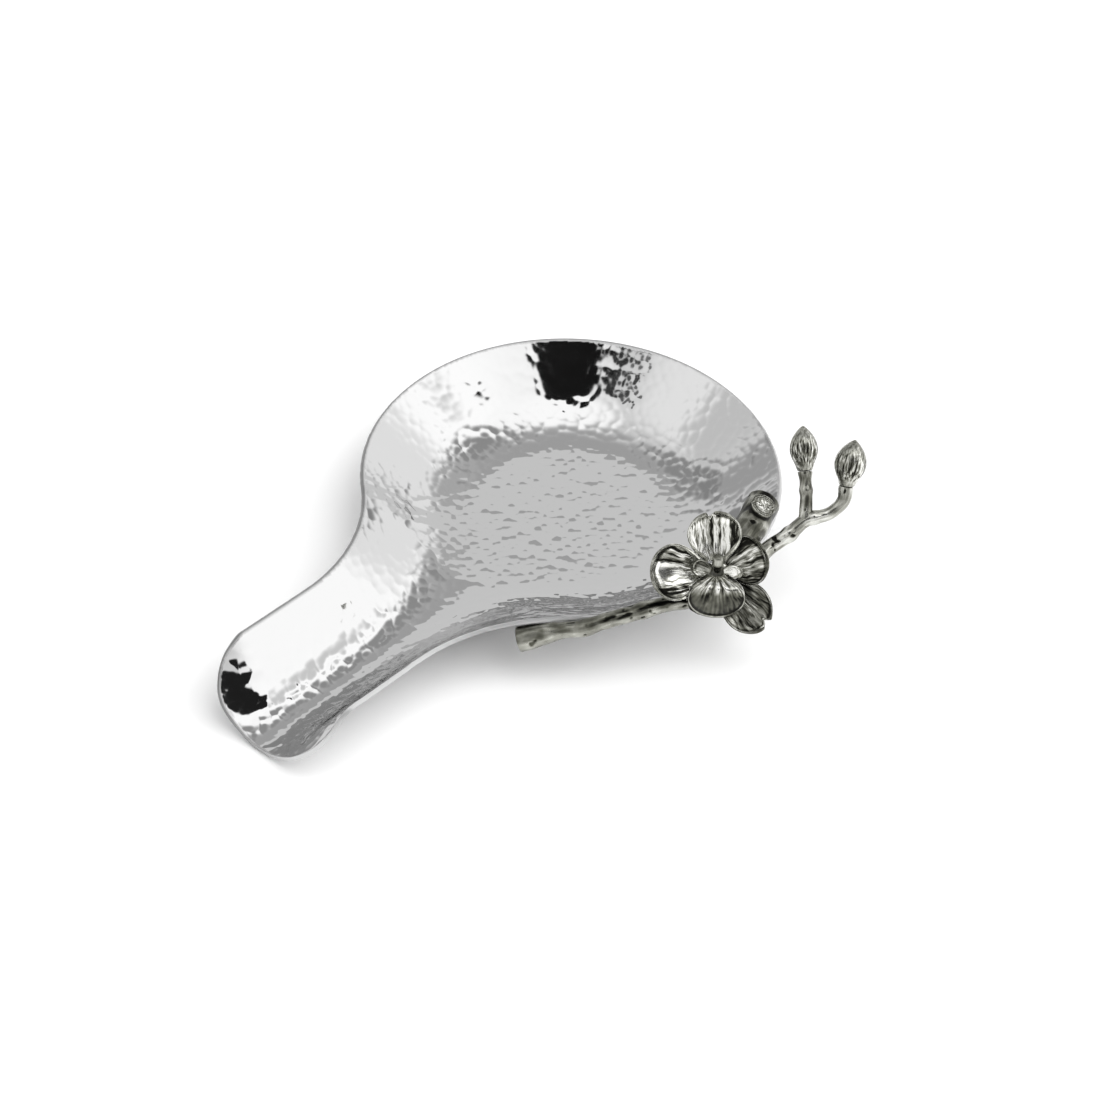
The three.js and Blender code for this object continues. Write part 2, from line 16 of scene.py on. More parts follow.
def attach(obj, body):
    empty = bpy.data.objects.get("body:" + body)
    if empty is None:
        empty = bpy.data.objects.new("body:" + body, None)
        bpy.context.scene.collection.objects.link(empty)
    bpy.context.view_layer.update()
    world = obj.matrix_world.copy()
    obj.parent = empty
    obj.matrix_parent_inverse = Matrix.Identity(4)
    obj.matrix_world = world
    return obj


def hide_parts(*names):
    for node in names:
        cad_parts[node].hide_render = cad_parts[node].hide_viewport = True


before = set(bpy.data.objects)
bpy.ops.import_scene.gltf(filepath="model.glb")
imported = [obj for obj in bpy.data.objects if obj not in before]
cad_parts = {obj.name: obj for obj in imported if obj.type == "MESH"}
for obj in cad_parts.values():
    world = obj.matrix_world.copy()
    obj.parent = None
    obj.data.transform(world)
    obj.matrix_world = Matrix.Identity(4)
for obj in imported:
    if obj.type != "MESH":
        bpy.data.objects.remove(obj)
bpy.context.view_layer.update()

LOG = logging.getLogger("spoon_rest")
MM = 0.001  # metres in a millimetre; sizes below are millimetres until a mesh is written
TURN = 2 * math.pi
BODY = "root"
WEAR_AND_SHADE = "wear"  # vertex attribute: 0 in a recess that keeps its dark patina, 1 where polish has worn it off; on some pieces it also carries painted shade and painted reflections
GRAIN = "grain"  # vertex attribute: place on the casting in millimetres, pressed together along its lines
LINED = "lined"  # vertex attribute: how strongly those lines show
WELD = 1e-6  # metres within which points of a seam are one

Points = np.ndarray
Field = Callable[[Points, Points], Points]  # of two places on a surface
Girth = Callable[[Points], Points]  # of the share along a bar
Pair = tuple[float, float]
Span = tuple[float, float]  # where a ramp starts, and its run


class Slot(Enum):
    """The record's material slots."""

    STEEL = "polished_steel"
    NICKEL = "dark_nickel"


# ---------------------------------------------------------------- numbers


def ramp(value: Points | float, start: float = 0.0, run: float = 1.0) -> Points:
    """Eases from 0 at a start to 1 a run further on, held at both ends; a negative run goes backwards."""
    share = np.clip((value - start) / run, 0.0, 1.0)
    return share * share * (3 - 2 * share)


def bump(distance: Points, width: float) -> Points:
    """A round bead of height 1 at distance 0, of which little is left at its width."""
    return np.exp(-((distance / width) ** 2))


def unit(vectors: Points) -> Points:
    """Vectors brought to length 1, along the last axis."""
    return vectors / np.maximum(np.linalg.norm(vectors, axis=-1, keepdims=True), 1e-12)


def points_of(*axes: Points | float) -> Points:
    """Points from their places on each axis, one row each."""
    return np.stack(np.broadcast_arrays(*axes), axis=-1)


def round_post(turn: Points, radius: Points | float, rise: Points) -> Points:
    """Points round an upright post, from their turn, their distance from its middle and their height."""
    return points_of(np.cos(turn) * radius, np.sin(turn) * radius, rise)


def toward(azimuth: float, elevation: float) -> Points:
    """Unit direction at an azimuth from the X axis and an elevation, both in degrees."""
    side, high = math.radians(azimuth), math.radians(elevation)
    return np.array((math.cos(side) * math.cos(high), math.sin(side) * math.cos(high), math.sin(high)))


def mottle(points: Points, size: float, shift: float) -> Points:
    """Smooth noise of about -1 to 1 in blotches of a size; the shift tells one use of it from another."""
    offset = Vector((shift, 2.3 * shift, -1.7 * shift))
    return np.array([noise.noise(Vector(point) / size + offset) for point in points])


# ---------------------------------------------------------------- meshes


@contextmanager
def edit_mode() -> Iterator[None]:
    """Holds the active piece in edit mode."""
    bpy.ops.object.mode_set(mode="EDIT")
    yield
    bpy.ops.object.mode_set(mode="OBJECT")


def read_points(piece: Object) -> Points:
    """A mesh's points, in metres, one row each."""
    return np.array([point.co for point in piece.data.vertices])


def place_points(piece: Object, points: Points) -> None:
    """Moves a mesh's points to places in millimetres, one row each."""
    piece.data.vertices.foreach_set("co", np.asarray(points * MM, np.float32).ravel())
    piece.data.update()


def add_grid(name: str, columns: int, rows: int) -> tuple[Object, Points, Points]:
    """Adds a flat grid and reads where each of its points lies in it.

    Args:
        name: Name of the new piece.
        columns: Faces along its first side.
        rows: Faces along its second side.

    Returns:
        The piece, and each point's share of the first and of the second side.
    """
    bpy.ops.object.select_all(action="DESELECT")
    bpy.ops.mesh.primitive_grid_add(x_subdivisions=columns, y_subdivisions=rows, size=1.0)
    piece = bpy.context.active_object
    piece.name = piece.data.name = name
    flat = read_points(piece) + 0.5
    return piece, flat[:, 0], flat[:, 1]


def note(piece: Object, name: str, values: Points) -> None:
    """Notes a number or a vector at each point of a mesh, for its material to read.

    Args:
        piece: The piece.
        name: Name of the vertex attribute.
        values: One number or one row for each point.
    """
    kind, key = ("FLOAT", "value") if values.ndim == 1 else ("FLOAT_VECTOR", "vector")
    layer = piece.data.attributes.new(name, kind, "POINT")
    layer.data.foreach_set(key, np.asarray(values, np.float32).ravel())


def drop_points(piece: Object, unwanted: Points) -> None:
    """Deletes points of the active piece in edit mode.

    Args:
        piece: The piece to trim.
        unwanted: True for each point that goes.
    """
    with edit_mode():
        bpy.ops.mesh.select_mode(type="VERT")
        bpy.ops.mesh.select_all(action="DESELECT")
    piece.data.vertices.foreach_set("select", unwanted)
    with edit_mode():
        bpy.ops.mesh.delete(type="VERT")


def close_mesh(piece: Object, front: Points | None = None, weld: float = WELD) -> None:
    """Merges the active piece's seams and poles in edit mode and turns its faces the right way.

    Args:
        piece: The piece to close.
        front: Direction that an open sheet's faces look in, or none for a closed body.
        weld: Distance up to which points are merged, in metres.
    """
    with edit_mode():
        bpy.ops.mesh.select_all(action="SELECT")
        bpy.ops.mesh.remove_doubles(threshold=weld)
        bpy.ops.mesh.dissolve_degenerate(threshold=WELD)
        bpy.ops.mesh.select_all(action="SELECT")
        bpy.ops.mesh.normals_make_consistent(inside=False)
    if front is None:
        return
    areas = sum((Vector(face.normal) * face.area for face in piece.data.polygons), Vector())
    if areas.dot(Vector(front)) < 0:
        with edit_mode():
            bpy.ops.mesh.select_all(action="SELECT")
            bpy.ops.mesh.flip_normals()


def finish_with(piece: Object, kind: str, **settings: object) -> None:
    """Adds a modifier to the active piece and applies it.

    Args:
        piece: The piece to change.
        kind: The modifier's type.
        settings: The modifier's settings.
    """
    modifier = piece.modifiers.new(kind.lower(), kind)
    for key, value in settings.items():
        setattr(modifier, key, value)
    bpy.ops.object.modifier_apply(modifier=modifier.name)


def settle(piece: Object, node: str, finish: Material) -> None:
    """Dresses a finished piece and hangs it on the frame in its node's place.

    Args:
        piece: The finished piece.
        node: The CAD node that it stands for.
        finish: Its material.
    """
    bpy.ops.object.shade_smooth()
    piece.data.materials.clear()
    piece.data.materials.append(finish)
    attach(piece, BODY)
    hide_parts(node)
    LOG.info("%s: %d faces, stands for %s", piece.name, len(piece.data.polygons), node)


# ---------------------------------------------------------------- curves


class Path:
    """A smooth curve through points, measured along its length."""

    SAMPLES = 400  # per stretch between two points
    NEAR = 0.0005  # share of the length at each side over which a direction is read

    def __init__(self, knots: Sequence[Points]) -> None:
        """Samples the curve.

        Args:
            knots: The points that it passes through, in millimetres.
        """
        points = [np.asarray(knot, float) for knot in knots]
        points = [2 * points[0] - points[1], *points, 2 * points[-1] - points[-2]]
        runs = [self._stretch(*points[i : i + 4]) for i in range(len(points) - 3)]
        self.trace = np.vstack([*runs, points[-2][None]])
        steps = np.linalg.norm(np.diff(self.trace, axis=0), axis=1)
        self.gone = np.concatenate([[0.0], np.cumsum(steps)])
        self.length = float(self.gone[-1])

    def _stretch(self, before: Points, start: Points, end: Points, after: Points) -> Points:
        """Samples one stretch, with knots spaced by the root of their distance.

        Args:
            before: The point before the stretch.
            start: Where it starts.
            end: Where it ends.
            after: The point after it.

        Returns:
            Samples from its start up to but without its end.
        """
        gaps = [math.sqrt(np.linalg.norm(b - a)) for a, b in ((before, start), (start, end), (end, after))]
        leave = (start - before) / gaps[0] - (end - before) / (gaps[0] + gaps[1]) + (end - start) / gaps[1]
        arrive = (end - start) / gaps[1] - (after - start) / (gaps[1] + gaps[2]) + (after - end) / gaps[2]
        leave, arrive = leave * gaps[1], arrive * gaps[1]
        share = np.linspace(0, 1, self.SAMPLES, endpoint=False)[:, None]
        square = -3 * start + 3 * end - 2 * leave - arrive
        cube = 2 * start - 2 * end + leave + arrive
        return start + leave * share + square * share**2 + cube * share**3

    def at(self, share: Points | float) -> Points:
        """Points at shares of the curve's length, one row each."""
        where = np.atleast_1d(share) * self.length
        return points_of(*(np.interp(where, self.gone, axis) for axis in self.trace.T))

    def heading(self, share: Points | float) -> Points:
        """Directions at shares of the curve's length, one row each."""
        near = np.clip(np.atleast_1d(share), self.NEAR, 1 - self.NEAR)
        return unit(self.at(near + self.NEAR) - self.at(near - self.NEAR))

    def sides(self, shares: Points) -> tuple[Points, Points]:
        """Two directions across the curve at each share, carried along it without twisting.

        Args:
            shares: Shares of the length, rising.

        Returns:
            The first and the second direction across, one row for each share.
        """
        ahead = self.heading(shares)
        side = np.cross(ahead[0], (0.0, 0.0, 1.0))
        side = side if np.linalg.norm(side) > 0.1 else np.array((1.0, 0.0, 0.0))
        first = np.zeros_like(ahead)
        for i, direction in enumerate(ahead):
            side = unit(side - direction * (side @ direction))
            first[i] = side
        return first, np.cross(ahead, first)


@dataclass(frozen=True)
class Bar:
    """A cast bar along a curve, with a rounded end at each side."""

    name: str
    path: Path
    radius: Girth
    relief: Field  # height added to the surface, from share along and turn round it
    wear: Field  # wear of the finish, from the same two, with painted shade and reflections on some bars
    rings: int
    around: int = 56
    cap: float = 0.12  # how far an end bulges, as a share of its radius
    cap_rings: int = 7
    cap_tone: float = 0.36  # wear in the middle of an end
    cap_crisp: int = 8  # how near to an end's edge its relief and wear start
    lined: float = 0.12  # how strongly fine lines run along it
    press: float = 0.18  # how far those lines are drawn out: their width beside their length

    def build(self) -> Object:
        """Rolls a grid round the curve and closes it over both ends.

        Returns:
            The finished bar.
        """
        piece, along, turn = add_grid(self.name, self.rings, self.around)
        row, angle = along * self.rings, TURN * turn
        share = np.clip((row - self.cap_rings) / (self.rings - 2 * self.cap_rings), 0, 1)
        from_end = np.minimum(row, self.rings - row) / self.cap_rings
        open_by = np.sin(np.clip(from_end, 0, 1) * math.pi / 2)
        on_side = open_by**self.cap_crisp
        order = np.argsort(share, kind="stable")
        first, second = np.zeros((2, len(share), 3))
        first[order], second[order] = self.path.sides(share[order])
        spread = (self.radius(share) + self.relief(share, angle) * on_side) * open_by
        bulge = self.cap * self.radius(share) * np.sqrt(np.clip(1 - open_by**2, 0, 1))
        outwards = np.where(row < self.rings / 2, -1.0, 1.0)
        middle = self.path.at(share) + self.path.heading(share) * (bulge * outwards)[:, None]
        across = first * np.cos(angle)[:, None] + second * np.sin(angle)[:, None]
        place_points(piece, middle + across * spread[:, None])
        wear = self.cap_tone + (self.wear(share, angle) - self.cap_tone) * on_side
        note(piece, WEAR_AND_SHADE, np.clip(wear, 0, 1))
        note(piece, GRAIN, round_post(angle, spread, share * self.path.length * self.press))
        note(piece, LINED, np.full_like(share, self.lined))
        close_mesh(piece)
        return piece


# ---------------------------------------------------------------- finishes


def linear(colour: str) -> tuple[float, ...]:
    """Linear red, green and blue and an alpha of 1, from an sRGB colour written as #rrggbb."""
    parts = [int(colour[i : i + 2], 16) / 255 for i in (1, 3, 5)]
    return *(c / 12.92 if c <= 0.04045 else ((c + 0.055) / 1.055) ** 2.4 for c in parts), 1.0


def per(size: float) -> float:
    """A texture's scale on coordinates in metres, for features of a size in millimetres."""
    return 1.0 / (size * MM)


def add_node(tree: NodeTree, kind: str, links: dict | None = None, **settings: object) -> Node:
    """Adds a shader node, sets it and links what it reads.

    Args:
        tree: The tree that it goes into.
        kind: The node's type.
        links: Nodes, read at their first output, or output sockets, by the input that each one goes to.
        settings: Values by property name, or by input name with _ for a space.

    Returns:
        The new node.
    """
    node = tree.nodes.new(f"ShaderNode{kind}")
    for key, value in settings.items():
        if hasattr(node, key):
            setattr(node, key, value)
        else:
            node.inputs[key.replace("_", " ")].default_value = value
    for key, source in (links or {}).items():
        tree.links.new(source.outputs[0] if isinstance(source, Node) else source, node.inputs[key])
    return node


def new_material(name: str) -> tuple[Material, NodeTree]:
    """Starts a node material.

    Args:
        name: The material's name.

    Returns:
        The material and its empty tree.
    """
    material = bpy.data.materials.new(name)
    material.use_nodes = True
    material.node_tree.nodes.clear()
    return material, material.node_tree


@dataclass(frozen=True)
class HammeredSteel:
    """Polished hammered stainless steel: beaten by hand over a stake and then buffed to a mirror.

    The eye sees the room in it, broken at every hammer mark, with a faint haze where the buff left off.
    """

    name: str = "polished_hammered_stainless"
    tint: str = "#cacaca"
    # grey of the cut edge where painted shade lies on it
    shaded_edge: str = "#7c7c7c"
    clean_roughness: float = 0.03
    hazy_roughness: float = 0.075
    edge_roughness: float = 0.4
    edge_wear: float = 0.5  # most wear that the brushed cut edge has; the buffed sheet has 1
    haze_size: float = 11.0
    haze_band: Pair = (0.3, 0.7)  # values of the noise that are clean and hazy
    ripple_size: float = 1.3
    ripple_height: float = 0.0016

    def make(self) -> Material:
        """Builds the material.

        Returns:
            The new material.
        """
        material, tree = new_material(self.name)
        place = add_node(tree, "TexCoord").outputs["Object"]
        haze = add_node(tree, "TexNoise", {"Vector": place}, Scale=per(self.haze_size), Detail=3.0)
        clean, hazy = self.haze_band
        rough = add_node(tree, "MapRange", {"Value": haze}, From_Min=clean, From_Max=hazy,
                         To_Min=self.clean_roughness, To_Max=self.hazy_roughness)
        ripple = add_node(tree, "TexNoise", {"Vector": place}, Scale=per(self.ripple_size), Detail=1.0)
        relief = add_node(tree, "Bump", {"Height": ripple}, Distance=self.ripple_height * MM, Strength=1.0)
        worn = add_node(tree, "Attribute", attribute_name=WEAR_AND_SHADE).outputs["Fac"]
        tone = add_node(tree, "ValToRGB", {"Fac": worn})
        stops = ((0.0, self.shaded_edge), (self.edge_wear, self.tint))
        for element, (position, colour) in zip(tone.color_ramp.elements, stops):
            element.position, element.color = position, linear(colour)
        brushed = add_node(tree, "MapRange", {"Value": worn}, From_Min=self.edge_wear, From_Max=1.0,
                           To_Min=self.edge_roughness, To_Max=0.0)
        blurred = add_node(tree, "Math", {0: rough, 1: brushed}, operation="MAXIMUM")
        looks = {"Base Color": tone, "Roughness": blurred, "Normal": relief}
        shader = add_node(tree, "BsdfPrincipled", looks, Metallic=1.0)
        add_node(tree, "OutputMaterial", {"Surface": shader})
        return material


@dataclass(frozen=True)
class AntiquedNickel:
    """Antiqued nickel on a casting: darkened all over and rubbed back by hand.

    The eye sees near-black patina left in the recesses and bright warm grey metal on what stands proud.
    Painted shade and reflections on some pieces come through the same colours.
    """

    name: str = "antiqued_cast_nickel"
    patina: str = "#1b1b18"
    dull: str = "#63635a"
    body: str = "#adada5"
    rubbed: str = "#f0f0eb"
    stops: tuple[float, ...] = (0.2, 0.45, 0.72, 0.95)  # wear at which those four colours show
    rubbed_roughness: float = 0.17
    patina_roughness: float = 0.36
    smooth_from: float = 0.3  # wear above which it gets smoother
    blotch_size: float = 2.6
    blotch_wear: float = 0.3
    line_size: float = 0.55
    line_height: float = 0.04
    line_band: Pair = (0.36, 0.6)  # values of the noise that are a dark and a light line
    line_wear: Pair = (-0.5, 0.2)  # wear that those two add

    def make(self) -> Material:
        """Builds the material.

        Returns:
            The new material.
        """
        material, tree = new_material(self.name)
        place = add_node(tree, "TexCoord").outputs["Object"]
        worn = add_node(tree, "Attribute", attribute_name=WEAR_AND_SHADE).outputs["Fac"]
        blotch = add_node(tree, "TexNoise", {"Vector": place}, Scale=per(self.blotch_size), Detail=4.0)
        spotty = add_node(tree, "Math", {0: blotch, 2: worn}, operation="MULTIPLY_ADD")
        spotty.inputs[1].default_value = self.blotch_wear
        grain = add_node(tree, "Attribute", attribute_name=GRAIN).outputs["Vector"]
        lined = add_node(tree, "Attribute", attribute_name=LINED).outputs["Fac"]
        lines = add_node(tree, "TexNoise", {"Vector": grain}, Scale=1 / self.line_size, Detail=3.0)
        (dark, light), (darken, lighten) = self.line_band, self.line_wear
        crisp = add_node(tree, "MapRange", {"Value": lines}, From_Min=dark, From_Max=light,
                         To_Min=darken, To_Max=lighten)
        uneven = add_node(tree, "Math", {0: crisp, 1: lined, 2: spotty}, operation="MULTIPLY_ADD")
        tone = add_node(tree, "ValToRGB", {"Fac": uneven})
        while len(tone.color_ramp.elements) < len(self.stops):
            tone.color_ramp.elements.new(0.5)
        colours = (self.patina, self.dull, self.body, self.rubbed)
        for element, position, colour in zip(tone.color_ramp.elements, self.stops, colours):
            element.position, element.color = position, linear(colour)
        rough = add_node(tree, "MapRange", {"Value": uneven}, From_Min=self.smooth_from,
                         From_Max=self.stops[-1], To_Min=self.patina_roughness, To_Max=self.rubbed_roughness)
        cut = add_node(tree, "Math", {0: lines, 1: lined}, operation="MULTIPLY")
        relief = add_node(tree, "Bump", {"Height": cut}, Distance=self.line_height * MM, Strength=1.0)
        looks = {"Base Color": tone, "Roughness": rough, "Normal": relief}
        shader = add_node(tree, "BsdfPrincipled", looks, Metallic=1.0)
        add_node(tree, "OutputMaterial", {"Surface": shader})
        return material


@dataclass(frozen=True)
class TablePaper:
    """Matt white background paper, which shows only the object's shadow."""

    name: str = "matt_white_paper"
    tint: str = "#f4f4f4"

    def make(self) -> Material:
        """Builds the material.

        Returns:
            The new material.
        """
        material, tree = new_material(self.name)
        matt = add_node(tree, "BsdfDiffuse", Color=linear(self.tint))
        add_node(tree, "OutputMaterial", {"Surface": matt})
        return material


# ---------------------------------------------------------------- dish


@dataclass
class Dish:
    """Round hammered bowl with an open trough handle, one sheet of steel."""

    sheet: float = 1.3
    bowl_radius: float = 66.0
    bowl_depth: float = 18.8
    floor_radius: float = 30.5
    wall_bend: float = 0.6
    handle_reach: float = 139.4
    handle_width: float = 44.8
    handle_lift: float = 4.0
    neck_radius: float = 60.0
    tip_corner: float = 10.0
    tip_rise: float = 0.4
    tip_flare: float = 0.42
    tip_flare_length: float = 17.0
    mesh_step: float = 0.5
    rim_trim: float = 0.3  # of a mesh step, within which points are too near the outline to keep
    rim_weld: float = 0.17  # points of the rim nearer than this are merged
    edge_round: float = 0.45
    edge_angle: float = 55.0  # degrees between faces at which an edge is rounded
    underside_share: float = 0.27  # of the underside's faces that are kept
    mark_pitch: float = 3.0
    mark_scatter: float = 0.42  # of the pitch
    mark_margin: float = 9.0  # how far past the outline blows are laid out
    mark_rivals: int = 6  # nearest blows that are compared at a point
    mark_radius: Pair = (16.0, 34.0)  # of the hammer's round face, as it leaves its mark
    mark_depth: float = 0.02  # how unevenly deep the blows go
    mark_lean: float = 0.015  # slope at which a blow lands
    ridge_soft: float = 0.006
    wall_blows: float = 0.4  # how deep the blows on the upper walls are, beside those on the floor
    handle_calm: float = 0.6  # share by which they are shallower on the handle
    heavy_blows: float = 0.9  # the same as wall_blows on the sides that were beaten hardest
    heavy_side: float = -50.0
    right_arc: Span = (0.25, 0.4)  # cosine from that side over which they set in
    left_arc: Span = (-0.72, -0.2)
    front_arc: Span = (0.3, 0.4)  # the same from a quarter turn before that side
    bend_blows: float = 1.6  # the same as wall_blows where the bowl's walls bend into the floor
    handle_blows: float = 2.3  # the same where the handle's walls do
    bend_place: Pair = (0.4, 0.14)  # share down the wall where they start, and what the handle adds
    bend_run: float = 0.2
    bend_lag: float = 0.1  # how much later the heavier blows come, in runs
    bend_end: Span = (0.8, 0.25)
    wave_size: float = 9.0  # of the slow unevenness that is left in the sheet
    wave_height: float = 0.11
    wave_calm: Pair = (0.5, 0.4)  # share missing on the upper walls, and what the handle adds
    wave_top: Span = (0.0, 0.2)  # share down the wall over which they set in
    wave_foot: Span = (1.3, -0.3)  # the same where they end
    handle_bulge: float = 0.35  # of the handle's far wall
    bulge_top: Span = (0.0, 0.5)
    bulge_foot: Span = (1.0, -0.5)
    tip_beaten: float = 30.0  # how far in from the tip the walls were beaten hard
    tip_beaten_fade: float = 10.0
    shaded_edge_side: float = 85.0  # direction in which the rim's cut edge is painted darkest grey: painted shade on the far left of the rim
    shaded_edge_arc: Span = (0.35, -0.8)  # cosine from there over which that painted shade gives way to the plain edge
    edge_wear: float = 0.5  # most wear of the cut edge
    normal_near: float = 0.05  # how near to a point its normal is read
    outline_near: float = 0.02  # the same for the way to the outline
    outline_rounds: int = 3
    seed: int = 27
    rim_height: float = field(init=False)
    wall_run: float = field(init=False)
    straight_slope: float = field(init=False)
    wall_angle: float = field(init=False)
    neck_x: float = field(init=False)
    neck_y: float = field(init=False)
    neck_end: float = field(init=False)

    def __post_init__(self) -> None:
        """Works out the sizes that follow from the others."""
        self.rim_height = self.sheet + self.bowl_depth
        self.wall_run = self.bowl_radius - self.floor_radius
        self.straight_slope = 1 / (1 - self.wall_bend / 2)
        self.wall_angle = math.atan(self.straight_slope * self.bowl_depth / self.wall_run)
        self.neck_y = self.handle_width / 2 + self.neck_radius
        reach = self.bowl_radius + self.neck_radius
        self.neck_x = math.sqrt(reach**2 - self.neck_y**2)
        self.neck_end = self.bowl_radius * self.neck_x / reach

    def from_rim(self, angle: float, out: float, up: float) -> Points:
        """A point at an angle round the bowl, in degrees, so far outside its rim and above it."""
        turn, radius = math.radians(angle), self.bowl_radius + out
        return np.array((radius * math.cos(turn), radius * math.sin(turn), self.rim_height + up))

    def from_rim_line(self, x: Points, y: Points) -> Points:
        """Distance inwards from the rim line, which is open at the handle's tip.

        Args:
            x: Places along the dish.
            y: Places across it.

        Returns:
            Distances, negative outside.
        """
        side = np.abs(y)
        neck = np.hypot(x + self.neck_x, side - self.neck_y) - self.neck_radius
        in_neck = (x < 0) & (side * self.neck_x < -x * self.neck_y)
        bowl = self.bowl_radius - np.hypot(x, y)
        return np.where(x < -self.neck_x, self.handle_width / 2 - side, np.where(in_neck, neck, bowl))

    def from_outline(self, x: Points, y: Points) -> Points:
        """Distance inwards from the whole outline, with the handle's rounded tip.

        Args:
            x: Places along the dish.
            y: Places across it.

        Returns:
            Distances, negative outside.
        """
        past = np.maximum(-x - self.handle_reach + self.tip_corner, 0)
        beside = np.maximum(np.abs(y) - self.handle_width / 2 + self.tip_corner, 0)
        tip = self.tip_corner - np.hypot(past, beside)
        return np.where(past > 0, tip, self.from_rim_line(x, y))

    def down_wall(self, x: Points, y: Points) -> Points:
        """How far down the wall points lie.

        Args:
            x: Places along the dish.
            y: Places across it.

        Returns:
            Shares of the way from the rim line, 0, to the floor, 1.
        """
        neck = np.hypot(x + self.neck_x, self.neck_y) - self.neck_radius
        middle = np.where(x < -self.neck_x, self.handle_width / 2, neck)
        return self.from_rim_line(x, y) / np.where(x > 0, self.wall_run, np.minimum(self.wall_run, middle))

    def inside_height(self, x: Points, y: Points) -> Points:
        """Height of the smooth inside surface.

        Args:
            x: Places along the dish.
            y: Places across it.

        Returns:
            Heights above the ground.
        """
        past_floor = self.handle_reach - self.floor_radius
        floor = self.sheet + self.tip_rise * ramp(-x, self.floor_radius, past_floor)
        climb = np.clip((-x - self.neck_end) / (self.handle_reach - self.neck_end), 0, 1) ** 2
        rim = self.rim_height + self.handle_lift * climb
        at_tip = ramp(-x - self.handle_reach + self.tip_flare_length, 0, self.tip_flare_length)
        share = self.down_wall(x, y)
        bend = self.straight_slope / (2 * self.wall_bend) * (1 - share) ** 2
        straight = 1 - self.straight_slope * share
        profile = np.where(share < 1 - self.wall_bend, straight, np.where(share < 1, bend, 0))
        return floor + (rim - floor) * (1 - self.tip_flare * at_tip) * profile

    def slopes(self, of: Field, x: Points, y: Points, near: float) -> tuple[Points, Points]:
        """Slopes of a field along and across the dish, read near each point."""
        along = (of(x + near, y) - of(x - near, y)) / (2 * near)
        return along, (of(x, y + near) - of(x, y - near)) / (2 * near)

    def inside_normal(self, x: Points, y: Points) -> Points:
        """Upward unit normals of the smooth inside surface."""
        along, across = self.slopes(self.inside_height, x, y, self.normal_near)
        return unit(points_of(-along, -across, 1.0))

    def to_outline(self, x: Points, y: Points) -> tuple[Points, Points]:
        """Moves points near the outline onto it.

        Args:
            x: Their places along the dish.
            y: Their places across it.

        Returns:
            The new places along and across.
        """
        for _ in range(self.outline_rounds):
            gap = self.from_outline(x, y)
            along, across = self.slopes(self.from_outline, x, y, self.outline_near)
            x, y = x - gap * along, y - gap * across
        return x, y

    def hammer_marks(self, points: Points) -> Points:
        """Height that the hammer left at each point, 0 at the bottom of the deepest mark.

        Each blow leaves a shallow round hollow, and the lowest hollow at a point is what is left of them.

        Args:
            points: Points of the smooth inside surface.

        Returns:
            Heights in millimetres.
        """
        draw = np.random.default_rng(self.seed)
        row_gap, margin = self.mark_pitch * math.sqrt(3) / 2, self.mark_margin
        rows = np.arange(-self.bowl_radius - margin, self.bowl_radius + margin, row_gap)
        stations = np.arange(-self.handle_reach - margin, self.bowl_radius + margin, self.mark_pitch)
        x, y = (axis.ravel() for axis in np.meshgrid(stations, rows))
        x = x + np.where(np.round((y - rows[0]) / row_gap) % 2, self.mark_pitch / 2, 0)
        stray = self.mark_scatter
        x, y = (axis + draw.uniform(-stray, stray, len(axis)) * self.mark_pitch for axis in (x, y))
        blows = points_of(x, y, self.inside_height(x, y))
        curve = draw.uniform(*self.mark_radius, len(blows))
        deep = draw.uniform(0, self.mark_depth, len(blows))
        lean = draw.normal(0, self.mark_lean, (len(blows), 2))
        tree = KDTree(len(blows))
        for number, blow in enumerate(blows):
            tree.insert(Vector(blow), number)
        tree.balance()
        nearest = np.array(
            [[hit[1] for hit in tree.find_n(Vector(point), self.mark_rivals)] for point in points]
        )
        apart = points[:, None, :] - blows[nearest]
        height = (apart**2).sum(axis=2) / (2 * curve[nearest]) + deep[nearest]
        height += (apart[..., :2] * lean[nearest]).sum(axis=2)
        lowest = height.min(axis=1, keepdims=True)
        soft = np.exp(-(height - lowest) / self.ridge_soft).sum(axis=1)
        return lowest[:, 0] - self.ridge_soft * np.log(soft)

    def unevenness(self, points: Points) -> Points:
        """Height that the hammer marks and the sheet's slow waves stand above the smooth inside surface.

        Args:
            points: Points of the smooth inside surface.

        Returns:
            Heights in millimetres.
        """
        x, y = points[:, 0], points[:, 1]
        down, way = self.down_wall(x, y), np.arctan2(y, x)
        handle = ramp(-x, self.neck_end, self.neck_x - self.neck_end)
        bend_start, later = self.bend_place
        bent = (down - bend_start - later * handle) / self.bend_run
        upper, lower = 1 - ramp(bent), ramp(bent, self.bend_lag) * (1 - ramp(down, *self.bend_end))
        facing = np.cos(way - math.radians(self.heavy_side))
        front = np.cos(way - math.radians(self.heavy_side - 90))
        sides = ramp(facing, *self.right_arc) * (x > 0)
        sides = sides + ramp(facing, *self.left_arc) * (x > -self.bowl_radius)
        tip = ramp(-x, self.handle_reach - self.tip_beaten, self.tip_beaten_fade)
        heavy = np.clip(sides + ramp(front, *self.front_arc) + handle * (y < 0) + tip, 0, 1)
        walls = self.wall_blows * (1 - self.handle_calm * handle)
        walls = walls + (self.heavy_blows - self.wall_blows) * heavy
        bend = self.bend_blows + (self.handle_blows - self.bend_blows) * handle
        calm = upper * (self.wave_calm[0] + self.wave_calm[1] * handle)
        waves = self.wave_height * mottle(points, self.wave_size, self.seed) * (1 - calm)
        waves *= ramp(down, *self.wave_top) * ramp(down, *self.wave_foot)
        bulge = self.handle_bulge * handle * (y > 0)
        waves += bulge * ramp(down, *self.bulge_top) * ramp(down, *self.bulge_foot)
        return self.hammer_marks(points) * (1 + (walls - 1) * upper + (bend - 1) * lower) + waves

